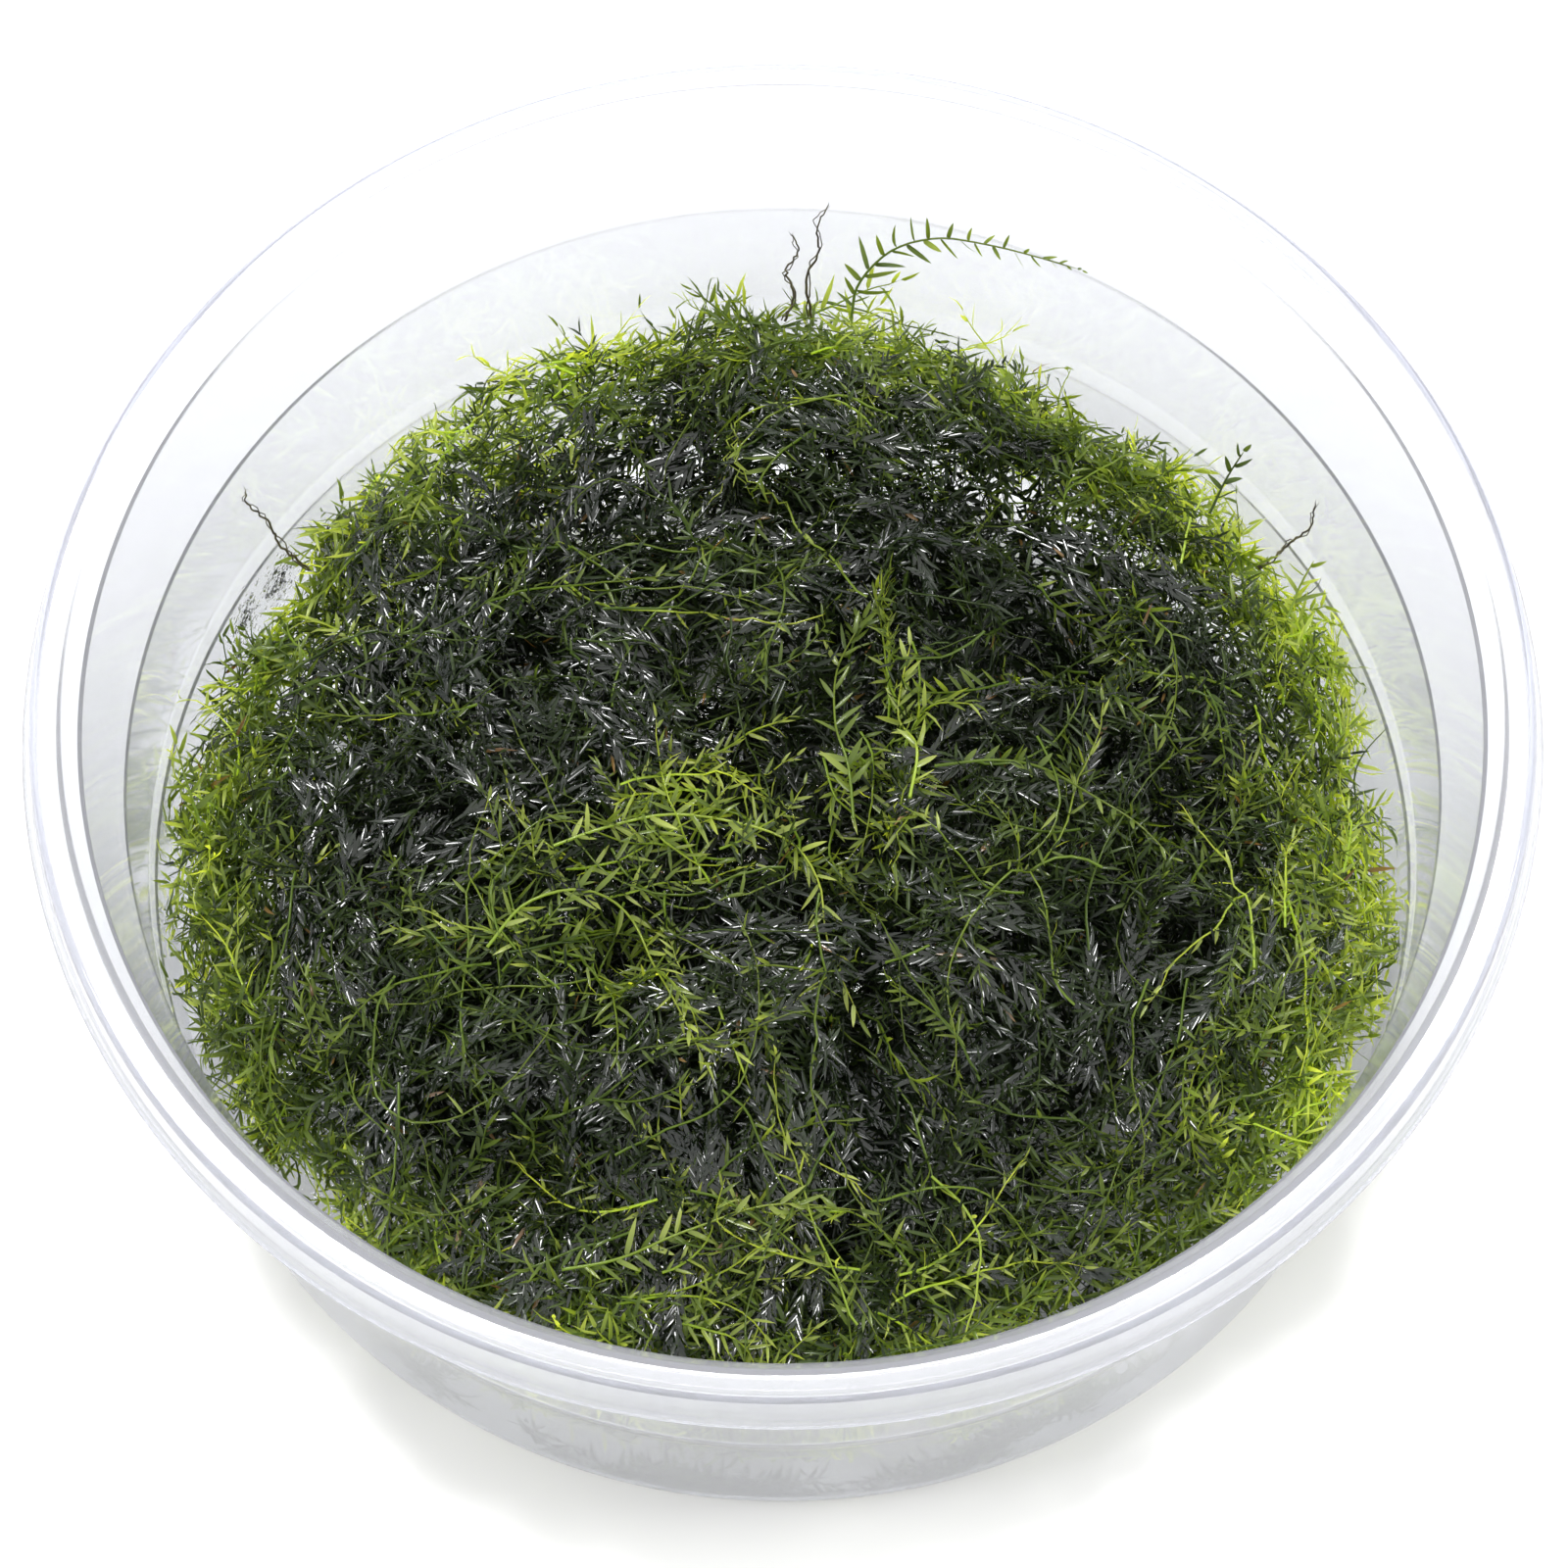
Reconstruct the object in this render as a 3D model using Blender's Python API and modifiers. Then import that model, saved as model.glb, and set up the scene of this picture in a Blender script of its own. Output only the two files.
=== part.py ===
"""A clump of wet moss in a clear plastic cup.

The cup is a turned shell, open at the top. The moss is a cushion-shaped mat that stands on the cup's
floor, with single shoots and bare stems that lie on it or rise from its edge. Each of those is a plain
solid that reaches as far as its leaf tips do. The origin is the centre of the cup's underside, +Z is up
and +Y is the back. All sizes are in metres.
"""

import math

import bmesh
import bpy
import numpy as np
from mathutils import Vector

MM = 0.001
GAP = 0.3 * MM

# The cup. The wall's radii are those of its inner side.
CUP_HEIGHT = 45.0 * MM
RIM_RADIUS = 58.5 * MM
WALL = 0.7 * MM
FLOOR_RADIUS = 49.3 * MM
FLOOR_CORNER = 2.8 * MM
LOWER_STEP_Z = 18.0 * MM
LOWER_STEP_RADIUS = 50.4 * MM
UPPER_STEP_Z = 33.0 * MM
UPPER_STEP_RADIUS = 51.4 * MM
STEP_WIDTH = 0.8 * MM
STEP_HEIGHT = 1.0 * MM
MOUTH_RADIUS = 54.3 * MM
RIM_TOP_RADIUS = 57.6 * MM
SKIRT_FOOT_Z = 41.3 * MM
SKIRT_FLARE = 0.5 * MM
CUP_FACETS = 60

# The moss mat, as a cushion that is widest a third of the way up.
MAT_FOOT_Z = WALL + GAP
MAT_WAIST_Z = 13.0 * MM
MAT_RADIUS = 49.6 * MM
MAT_FOOT_RADIUS = 44.0 * MM
MAT_EDGE_Z = 17.0 * MM
MAT_CROWN_Z = 30.0 * MM
MAT_BACK_RISE = 4.0 * MM
MAT_THIN_CORNER = 5.0 * MM
MAT_THIN_ANGLE = math.radians(-52)
MAT_LUMP = 0.9 * MM

# Single shoots. A leafy one is as thick as its two rows of leaves reach.
LEAFY_RADIUS = 1.3 * MM
STEM_RADIUS = 0.35 * MM
TUBE_SIDES_LEVEL = 1
POINTS_PER_SHOOT = 11

MOSS_GREEN = (0.045, 0.085, 0.022)
SHOOT_GREEN = (0.20, 0.34, 0.05)
STEM_BROWN = (0.075, 0.055, 0.02)

# Shoots on top of the mat, as places on plan in mm; the height follows the mat's surface.
TOP_SHOOTS = (
    [(-18, -5), (-14, -3.5), (-9, -2.5), (-4, -3.2), (0.5, -5), (2.8, -9), (3.5, -14), (6, -19)],
    [(-23, -14), (-20, -10.5), (-15.5, -9), (-12, -10.5), (-10, -15), (-8, -19.5), (-6, -24)],
    [(5.6, -2), (5.2, 2.5), (4.2, 6.5), (4.4, 12), (6.5, 17)],
    [(10, -1.5), (10.6, 3), (9.2, 7), (10.2, 12)],
    [(12, 1.5), (17, 2.2), (22, 1.4), (27, -1.5), (31, -6)],
    [(-17, -38.5), (-12, -37.5), (-7, -35.5), (-1, -33.5), (6, -34)],
)

# Shoots that rise clear of the mat: name, radius, and points in mm.
RISING_SHOOTS = (
    ("arching_shoot", LEAFY_RADIUS, "shoot", [
        (5.7, 45.0, 25.8), (6.3, 46.6, 28.5), (8.9, 47.6, 32.0), (12.6, 47.2, 34.6), (16.6, 45.6, 36.2),
        (20.6, 44.0, 36.9), (24.4, 42.6, 37.0)]),
    ("back_stem_short", STEM_RADIUS, "stem", [
        (0.2, 45.4, 24.6), (0.9, 46.5, 27.0), (0.3, 47.6, 29.0), (1.3, 48.2, 31.0), (0.6, 48.9, 33.0)]),
    ("back_stem_tall", STEM_RADIUS, "stem", [
        (2.4, 46.0, 24.2), (2.0, 47.4, 28.0), (3.0, 48.2, 31.0), (2.8, 48.8, 34.0), (3.8, 49.2, 37.0)]),
    ("back_tuft", LEAFY_RADIUS, "shoot", [
        (-3.9, 43.8, 26.2), (-5.6, 44.7, 28.0), (-7.4, 45.4, 29.6)]),
    ("left_stem", STEM_RADIUS, "stem", [
        (-38.6, 24.0, 20.6), (-40.8, 24.6, 23.4), (-41.8, 25.6, 26.0), (-43.2, 25.6, 28.6),
        (-43.4, 26.2, 30.6)]),
    ("right_stem", STEM_RADIUS, "stem", [
        (39.2, 24.8, 19.4), (41.4, 25.8, 21.6), (43.0, 25.9, 24.6), (43.3, 26.6, 27.8)]),
    ("right_tuft", LEAFY_RADIUS, "shoot", [
        (35.0, 28.0, 22.9), (36.3, 30.0, 25.2), (37.6, 31.2, 27.6)]),
    ("left_wall_shoot", LEAFY_RADIUS, "shoot", [
        (-46.6, 0.5, 21.0), (-47.6, 3.0, 23.2), (-48.4, 5.4, 25.6)]),
    ("right_wall_shoot", LEAFY_RADIUS, "shoot", [
        (41.2, 19.4, 20.9), (42.2, 21.4, 22.8), (43.2, 22.6, 24.8)]),
)


def clear_scene():
    """Remove every object of the open scene."""
    for thing in list(bpy.data.objects):
        bpy.data.objects.remove(thing, do_unlink=True)


def make_collection(name):
    """Return a new collection linked to the scene."""
    collection = bpy.data.collections.new(name)
    bpy.context.scene.collection.children.link(collection)
    return collection


def make_material(name, color, roughness, metallic=0.0, transmission=0.0):
    """Return a plain Principled material."""
    material = bpy.data.materials.new(name)
    material.use_nodes = True
    shader = material.node_tree.nodes["Principled BSDF"]
    shader.inputs["Base Color"].default_value = (*color, 1.0)
    shader.inputs["Roughness"].default_value = roughness
    shader.inputs["Metallic"].default_value = metallic
    shader.inputs["Transmission Weight"].default_value = transmission
    return material


def rounded(corners, steps=2):
    """Return the outline through corners, each (x, z, radius), with an arc at each rounded corner."""
    outline = []
    for index, (x, z, radius) in enumerate(corners):
        here = Vector((x, z))
        if radius == 0.0:
            outline.append(here)
            continue
        back = (Vector(corners[index - 1][:2]) - here).normalized()
        ahead = (Vector(corners[index + 1][:2]) - here).normalized()
        half = back.angle(ahead) / 2
        start = here + back * radius / math.tan(half)
        end = here + ahead * radius / math.tan(half)
        middle = here + (back + ahead).normalized() * radius / math.sin(half)
        first, last = start - middle, end - middle
        turn = first.angle_signed(last)
        for step in range(steps + 1):
            angle = -turn * step / steps
            spoke = Vector((first.x * math.cos(angle) - first.y * math.sin(angle),
                            first.x * math.sin(angle) + first.y * math.cos(angle)))
            outline.append(middle + spoke)
    return outline


def cup_outline():
    """Return the cup's visible side in section, from the floor's centre to the skirt's foot."""
    return rounded([
        (0.0, WALL, 0.0),
        (FLOOR_RADIUS, WALL, FLOOR_CORNER),
        (LOWER_STEP_RADIUS, LOWER_STEP_Z - STEP_HEIGHT / 2, 0.5 * MM),
        (LOWER_STEP_RADIUS + STEP_WIDTH, LOWER_STEP_Z + STEP_HEIGHT / 2, 0.9 * MM),
        (UPPER_STEP_RADIUS, UPPER_STEP_Z - STEP_HEIGHT / 2, 0.5 * MM),
        (UPPER_STEP_RADIUS + STEP_WIDTH, UPPER_STEP_Z + STEP_HEIGHT / 2, 0.9 * MM),
        (MOUTH_RADIUS, CUP_HEIGHT, 1.1 * MM),
        (RIM_TOP_RADIUS, CUP_HEIGHT, 0.9 * MM),
        (RIM_RADIUS - SKIRT_FLARE, SKIRT_FOOT_Z + SKIRT_FLARE, 0.8 * MM),
        (RIM_RADIUS, SKIRT_FOOT_Z, 0.0),
    ])


def make_cup(collection, material):
    """Turn the cup's outline round its axis and give it its wall."""
    mesh = bpy.data.meshes.new("cup")
    outline = cup_outline()
    vertices = [(point.x, 0.0, point.y) for point in outline]
    edges = [(i, i + 1) for i in range(len(outline) - 1)]
    mesh.from_pydata(vertices, edges, [])
    cup = bpy.data.objects.new("cup", mesh)
    collection.objects.link(cup)
    mesh.materials.append(material)

    turn = cup.modifiers.new("turn", "SCREW")
    turn.steps = turn.render_steps = CUP_FACETS
    turn.use_merge_vertices = True
    turn.merge_threshold = 0.00005
    turn.use_smooth_shade = True

    wall = cup.modifiers.new("wall", "SOLIDIFY")
    wall.thickness = WALL
    wall.offset = -1.0
    wall.use_even_offset = True
    return cup


def mat_edge_height(angle):
    """Return the mat's height at its edge: highest at the back, lowest at the thin front corner."""
    back = np.maximum(np.sin(angle), 0.0) ** 2
    thin = np.exp(-((angle - MAT_THIN_ANGLE) / 0.35) ** 2)
    return MAT_EDGE_Z + MAT_BACK_RISE * back - MAT_THIN_CORNER * thin


def mat_height(x, y):
    """Return the height of the mat's top over a place on plan, an edge height plus a dome and lumps."""
    radius = np.hypot(x, y) / MAT_RADIUS
    dome = np.clip(1.0 - radius ** 2, 0.0, 1.0) ** 0.8
    edge = mat_edge_height(np.arctan2(y, x))
    lumps = (np.sin(x / 0.0072 + 0.6) * np.sin(y / 0.0083 + 1.1)
             + 0.6 * np.sin((x + y) / 0.0049 + 2.0) * np.sin((x - y) / 0.0061))
    return edge * (1 - dome) + MAT_CROWN_Z * dome + MAT_LUMP * lumps * dome


def make_mat(collection, material):
    """Shape a sphere into the mat: rings above the waist take the top's height, those below the foot's."""
    shape = bmesh.new()
    bmesh.ops.create_uvsphere(shape, u_segments=56, v_segments=24, radius=1.0)
    unit = np.array([vertex.co[:] for vertex in shape.verts])
    across = np.hypot(unit[:, 0], unit[:, 1])
    angle = np.arctan2(unit[:, 1], unit[:, 0])
    up = unit[:, 2]

    spread = across ** 0.8
    rise = np.abs(up) ** 0.55
    radius = np.where(up >= 0, MAT_RADIUS, MAT_FOOT_RADIUS + (MAT_RADIUS - MAT_FOOT_RADIUS) * (1 - rise))
    radius = radius * spread
    x, y = radius * np.cos(angle), radius * np.sin(angle)
    waist = np.minimum(MAT_WAIST_Z, mat_edge_height(angle) - 1.0 * MM)
    top = waist + (mat_height(x, y) - waist) * rise
    foot = waist + (MAT_FOOT_Z - waist) * rise
    z = np.where(up >= 0, top, foot)
    for vertex, place in zip(shape.verts, np.column_stack([x, y, z])):
        vertex.co = place

    mesh = bpy.data.meshes.new("moss_mat")
    shape.to_mesh(mesh)
    shape.free()
    mesh.shade_smooth()
    mesh.materials.append(material)
    mat = bpy.data.objects.new("moss_mat", mesh)
    collection.objects.link(mat)
    return mat


def smooth_path(points, count=POINTS_PER_SHOOT):
    """Return count points on the Catmull-Rom curve through points."""
    knots = np.array([2 * points[0] - points[1], *points, 2 * points[-1] - points[-2]])
    along = np.linspace(0, len(points) - 1, count)
    first = np.minimum(along.astype(int), len(points) - 2)
    t = (along - first)[:, None]
    p0, p1, p2, p3 = (knots[first + k] for k in range(4))
    return 0.5 * (2 * p1 + (p2 - p0) * t + (2 * p0 - 5 * p1 + 4 * p2 - p3) * t ** 2
                  + (3 * p1 - p0 - 3 * p2 + p3) * t ** 3)


def make_shoot(collection, name, points, radius, material):
    """Make one shoot as a round tube that thins towards its two ends."""
    curve = bpy.data.curves.new(name, "CURVE")
    curve.dimensions = "3D"
    curve.bevel_depth = radius
    curve.bevel_resolution = TUBE_SIDES_LEVEL
    curve.use_fill_caps = True
    spline = curve.splines.new("POLY")
    spline.points.add(len(points) - 1)
    for index, (point, place) in enumerate(zip(spline.points, points)):
        point.co = (*place, 1.0)
        end = min(index, len(points) - 1 - index) / 3
        point.radius = min(1.0, 0.55 + 0.45 * end)
    curve.materials.append(material)
    shoot = bpy.data.objects.new(name, curve)
    collection.objects.link(shoot)
    return shoot


def make_top_shoots(collection, material):
    """Lay the long loose shoots on the mat, clear of its surface by their own thickness."""
    for number, plan in enumerate(TOP_SHOOTS, start=1):
        flat = [np.array([x * MM, y * MM, 0.0]) for x, y in plan]
        path = smooth_path(flat)
        path[:, 2] = mat_height(path[:, 0], path[:, 1]) + LEAFY_RADIUS + 2.5 * GAP
        make_shoot(collection, f"top_shoot_{number}", path, LEAFY_RADIUS, material)


def make_rising_shoots(collection, materials):
    """Stand the shoots and bare stems that leave the mat's edge."""
    for name, radius, kind, points in RISING_SHOOTS:
        path = smooth_path([np.array(point) * MM for point in points])
        make_shoot(collection, name, path, radius, materials[kind])


def main():
    """Build every piece into one collection."""
    clear_scene()
    collection = make_collection("moss_clump")
    plastic = make_material("clear_plastic", (0.92, 0.93, 0.94), 0.12, transmission=0.9)
    moss = make_material("moss", MOSS_GREEN, 0.35)
    living = {
        "shoot": make_material("young_shoot", SHOOT_GREEN, 0.35),
        "stem": make_material("bare_stem", STEM_BROWN, 0.6),
    }
    make_cup(collection, plastic)
    make_mat(collection, moss)
    make_top_shoots(collection, living["shoot"])
    make_rising_shoots(collection, living)


main()
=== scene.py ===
"""The looks of a clump of wet moss in its clear plastic cup.

The cup is a thin turned shell. The moss is a springy tangle of thin shoots, each with two rows of narrow
folded leaves. Every shoot grows as a path through the cushion-shaped space that the moss fills, and is
held inside the cup. Loose bright shoots lie across the top and bare stems stand out at the edge.
"""

import logging
import math
from dataclasses import dataclass, field, replace
from enum import Enum

import bpy
import numpy as np
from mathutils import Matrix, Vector


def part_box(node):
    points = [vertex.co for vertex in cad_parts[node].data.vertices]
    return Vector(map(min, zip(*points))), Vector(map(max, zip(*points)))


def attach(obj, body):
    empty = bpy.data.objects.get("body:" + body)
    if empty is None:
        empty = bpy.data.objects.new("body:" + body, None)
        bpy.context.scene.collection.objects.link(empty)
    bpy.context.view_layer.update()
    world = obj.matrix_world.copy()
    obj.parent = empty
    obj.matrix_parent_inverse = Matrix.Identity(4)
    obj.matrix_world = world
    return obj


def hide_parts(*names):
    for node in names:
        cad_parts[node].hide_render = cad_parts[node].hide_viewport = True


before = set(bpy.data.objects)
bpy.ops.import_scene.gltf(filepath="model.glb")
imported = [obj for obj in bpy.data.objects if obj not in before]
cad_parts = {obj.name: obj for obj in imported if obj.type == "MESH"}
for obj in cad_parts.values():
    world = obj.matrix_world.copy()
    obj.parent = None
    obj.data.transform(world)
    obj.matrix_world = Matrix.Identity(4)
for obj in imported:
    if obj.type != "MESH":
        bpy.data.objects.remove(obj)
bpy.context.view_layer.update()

Array = np.ndarray
Color = tuple[float, float, float]
Place = tuple[float, float, float]
Pair = tuple[float, float]
Material, Tree, Object = bpy.types.Material, bpy.types.NodeTree, bpy.types.Object
Node, Socket = bpy.types.Node, bpy.types.NodeSocket
MM = 0.001
TURN = 2 * math.pi
PALETTE_UV = "OFBake"
LEAF_IOR = 1.45
PLASTIC_IOR = 1.49
WATER_IOR = 1.333
log = logging.getLogger("moss_clump")


class Slot(Enum):
    """The names of the material slots."""

    PLASTIC = "clear_plastic"
    MOSS = "moss"
    SHOOT = "young_shoot"
    STEM = "bare_stem"


# ---------------------------------------------------------------- arrays and meshes

def unit(vectors: Array) -> Array:
    """Return vectors scaled to length one along their last axis."""
    return vectors / np.maximum(np.linalg.norm(vectors, axis=-1, keepdims=True), 1e-12)


def square_on(vectors: Array, axes: Array) -> Array:
    """Return unit vectors with their part along the unit axes taken away."""
    return unit(vectors - axes * np.sum(vectors * axes, axis=-1, keepdims=True))


def smoothstep(low: float, high: float, x: Array) -> Array:
    """Return 0 below low, 1 above high, and a smooth rise between them."""
    t = np.clip((x - low) / (high - low), 0.0, 1.0)
    return t * t * (3.0 - 2.0 * t)


@dataclass(frozen=True)
class Lattice:
    """Smooth noise over a plane: random values on a square lattice, eased between its corners.

    Attributes:
        cell: the lattice's spacing in metres.
        seed: the seed of the lattice's values.
    """

    cell: float
    seed: int
    size: int = 64

    def __call__(self, x: Array, y: Array) -> Array:
        """Return values from -1 to 1 at the places (x, y)."""
        values = np.random.default_rng(self.seed).uniform(-1.0, 1.0, (self.size, self.size))
        u, v = x / self.cell + self.size / 2, y / self.cell + self.size / 2
        i, j = np.floor(u).astype(int), np.floor(v).astype(int)
        s, t = smoothstep(0.0, 1.0, u - i), smoothstep(0.0, 1.0, v - j)
        i0, j0 = i % self.size, j % self.size
        i1, j1 = (i + 1) % self.size, (j + 1) % self.size
        return ((values[i0, j0] * (1 - s) + values[i1, j0] * s) * (1 - t)
                + (values[i0, j1] * (1 - s) + values[i1, j1] * s) * t)


@dataclass
class Surface:
    """Vertices, triangles and palette places, gathered until they become one mesh."""

    vertices: list[Array] = field(default_factory=list)
    triangles: list[Array] = field(default_factory=list)
    palette: list[Array] = field(default_factory=list)
    count: int = 0

    def add(self, vertices: Array, triangles: Array, palette: Array) -> None:
        """Append one set of vertices, its triangles and a palette place (u, v) for each vertex."""
        self.vertices.append(vertices.reshape(-1, 3))
        self.triangles.append(triangles.reshape(-1, 3) + self.count)
        self.palette.append(palette.reshape(-1, 2))
        self.count += len(self.vertices[-1])

    def merged(self) -> tuple[Array, Array, Array]:
        """Return all vertices, triangles and palette places as three arrays."""
        return tuple(np.concatenate(part) for part in (self.vertices, self.triangles, self.palette))


def band(index: Array, beside: Array) -> Array:
    """Return two triangles for each cell between the rows of a grid of vertex numbers."""
    a, b, c, d = index[:-1], beside[:-1], beside[1:], index[1:]
    return np.concatenate([np.stack(corners, -1).reshape(-1, 3) for corners in ((a, c, b), (a, d, c))])


def make_piece(name: str, surface: Surface, material: Material,
               stands_for: tuple[str, ...] = ()) -> Object:
    """Put a gathered surface into a mesh that rides on the object's one body.

    Args:
        name: the piece's name.
        surface: what the piece is made of.
        material: its finish.
        stands_for: the CAD nodes that the piece is shown in place of.

    Returns:
        The new object.
    """
    vertices, triangles, palette = surface.merged()
    mesh = bpy.data.meshes.new(name)
    mesh.vertices.add(len(vertices))
    mesh.vertices.foreach_set("co", vertices.astype(np.float32).ravel())
    mesh.loops.add(triangles.size)
    mesh.loops.foreach_set("vertex_index", triangles.astype(np.int32).ravel())
    mesh.polygons.add(len(triangles))
    mesh.polygons.foreach_set("loop_start", np.arange(0, triangles.size, 3, dtype=np.int32))
    mesh.polygons.foreach_set("use_smooth", np.ones(len(triangles), dtype=bool))
    mesh.update(calc_edges=True)
    layer = mesh.uv_layers.new(name=PALETTE_UV)
    layer.data.foreach_set("uv", palette[triangles.ravel()].astype(np.float32).ravel())
    mesh.materials.append(material)
    piece = bpy.data.objects.new(name, mesh)
    bpy.context.scene.collection.objects.link(piece)
    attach(piece, "root")
    if stands_for:
        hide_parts(*stands_for)
    log.info("%s: %d triangles", name, len(triangles))
    return piece


# ---------------------------------------------------------------- finishes

def link(tree: Tree, source: Socket, target: Socket) -> None:
    """Link one socket to another."""
    tree.links.new(source, target)


def new_material(name: str) -> tuple[Material, Tree, Node]:
    """Return a new node material, its tree and its Principled shader."""
    material = bpy.data.materials.new(name)
    material.use_nodes = True
    tree = material.node_tree
    return material, tree, tree.nodes["Principled BSDF"]


def color_ramp(tree: Tree, stops: tuple[tuple[float, Color], ...]) -> Node:
    """Return a colour ramp through stops, each a position and a linear colour."""
    ramp = tree.nodes.new("ShaderNodeValToRGB")
    elements = ramp.color_ramp.elements
    while len(elements) > 1:
        elements.remove(elements[-1])
    elements[0].position, elements[0].color = stops[0][0], (*stops[0][1], 1.0)
    for position, color in stops[1:]:
        elements.new(position).color = (*color, 1.0)
    return ramp


def mixed(tree: Tree, kind: str, factor: float, a: Socket,
          b: Socket | Color) -> Socket:
    """Return the colour of a mixed with b by a constant factor."""
    node = tree.nodes.new("ShaderNodeMix")
    node.data_type = "RGBA"
    node.blend_type = kind
    node.inputs[0].default_value = factor
    link(tree, a, node.inputs[6])
    if isinstance(b, tuple):
        node.inputs[7].default_value = (*b, 1.0)
    else:
        link(tree, b, node.inputs[7])
    return node.outputs[2]


def noise(tree: Tree, scale: float, stretch: Place = (1.0, 1.0, 1.0),
          detail: float = 2.0) -> Socket:
    """Return noise over the object, scaled and stretched along its axes."""
    place = tree.nodes.new("ShaderNodeTexCoord")
    mapping = tree.nodes.new("ShaderNodeMapping")
    mapping.inputs["Scale"].default_value = stretch
    link(tree, place.outputs["Object"], mapping.inputs["Vector"])
    texture = tree.nodes.new("ShaderNodeTexNoise")
    texture.inputs["Scale"].default_value = scale
    texture.inputs["Detail"].default_value = detail
    link(tree, mapping.outputs["Vector"], texture.inputs["Vector"])
    return texture.outputs["Fac"]


def add_bump(tree: Tree, shader: Node, height: Socket,
             strength: float, distance: float) -> None:
    """Let a height bump a shader's surface."""
    bump = tree.nodes.new("ShaderNodeBump")
    bump.inputs["Strength"].default_value = strength
    bump.inputs["Distance"].default_value = distance
    link(tree, height, bump.inputs["Height"])
    link(tree, bump.outputs["Normal"], shader.inputs["Normal"])


@dataclass(frozen=True)
class LeafFinish:
    """Wet leaf: glossy skin over a thin blade that lets light through, coloured by the palette.

    The palette's u is the shoot's tone, from black-green through olive to yellow-green and, at its end,
    dead brown. Its v runs from a leaf's foot to its tip, and its last stretch is the stem. Light that comes
    through a leaf is yellower than the leaf: its colour is mixed with a lit one, by the lit share.
    """

    name: str
    roughness: float = 0.32
    specular: float = 0.36
    coat: float = 0.34
    coat_roughness: float = 0.09
    glow: float = 0.40
    lit: Color = (5.0, 4.7, 0.35)
    lit_share: float = 0.55
    tones: tuple[tuple[float, Color], ...] = (
        (0.00, (0.005, 0.009, 0.004)),
        (0.20, (0.013, 0.022, 0.008)),
        (0.42, (0.034, 0.055, 0.017)),
        (0.62, (0.088, 0.130, 0.032)),
        (0.78, (0.205, 0.268, 0.058)),
        (0.90, (0.500, 0.560, 0.160)),
        (0.93, (0.260, 0.150, 0.050)),
        (1.00, (0.110, 0.055, 0.026)),
    )
    lengthwise: tuple[tuple[float, Color], ...] = (
        (0.00, (0.46, 0.50, 0.42)),
        (0.25, (0.74, 0.78, 0.70)),
        (0.60, (0.94, 0.95, 0.90)),
        (0.80, (1.00, 0.98, 0.94)),
        (0.86, (0.74, 0.92, 0.60)),
        (1.00, (0.94, 0.86, 0.62)),
    )

    def material(self) -> Material:
        """Return the finish as a node material."""
        material, tree, shader = new_material(self.name)
        place = tree.nodes.new("ShaderNodeUVMap")
        place.uv_map = PALETTE_UV
        split = tree.nodes.new("ShaderNodeSeparateXYZ")
        link(tree, place.outputs["UV"], split.inputs[0])
        tone = color_ramp(tree, self.tones)
        link(tree, split.outputs["X"], tone.inputs["Fac"])
        along = color_ramp(tree, self.lengthwise)
        link(tree, split.outputs["Y"], along.inputs["Fac"])
        color = mixed(tree, "MULTIPLY", 1.0, tone.outputs["Color"], along.outputs["Color"])
        link(tree, color, shader.inputs["Base Color"])
        shader.inputs["Roughness"].default_value = self.roughness
        shader.inputs["IOR"].default_value = LEAF_IOR
        shader.inputs["Specular IOR Level"].default_value = self.specular
        shader.inputs["Coat Weight"].default_value = self.coat
        shader.inputs["Coat Roughness"].default_value = self.coat_roughness
        through = tree.nodes.new("ShaderNodeBsdfTranslucent")
        lit = mixed(tree, "MULTIPLY", 1.0, color, self.lit)
        link(tree, mixed(tree, "MIX", self.lit_share, color, lit), through.inputs["Color"])
        blend = tree.nodes.new("ShaderNodeMixShader")
        blend.inputs["Fac"].default_value = self.glow
        link(tree, shader.outputs[0], blend.inputs[1])
        link(tree, through.outputs[0], blend.inputs[2])
        link(tree, blend.outputs[0], tree.nodes["Material Output"].inputs["Surface"])
        return material


@dataclass(frozen=True)
class StemFinish:
    """Wiry bare stem: dark brown mottled with paler patches, rough and a little damp."""

    name: str = "wiry_stem"
    grain: float = 900.0
    colors: tuple[tuple[float, Color], ...] = ((0.35, (0.030, 0.022, 0.010)), (0.70, (0.095, 0.085, 0.030)))
    roughness: float = 0.42
    coat: float = 0.2
    bump: float = 0.4
    bump_height: float = 0.02 * MM

    def material(self) -> Material:
        """Return the finish as a node material."""
        material, tree, shader = new_material(self.name)
        grain = noise(tree, self.grain)
        ramp = color_ramp(tree, self.colors)
        link(tree, grain, ramp.inputs["Fac"])
        link(tree, ramp.outputs["Color"], shader.inputs["Base Color"])
        shader.inputs["Roughness"].default_value = self.roughness
        shader.inputs["Coat Weight"].default_value = self.coat
        add_bump(tree, shader, grain, self.bump, self.bump_height)
        return material


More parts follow.
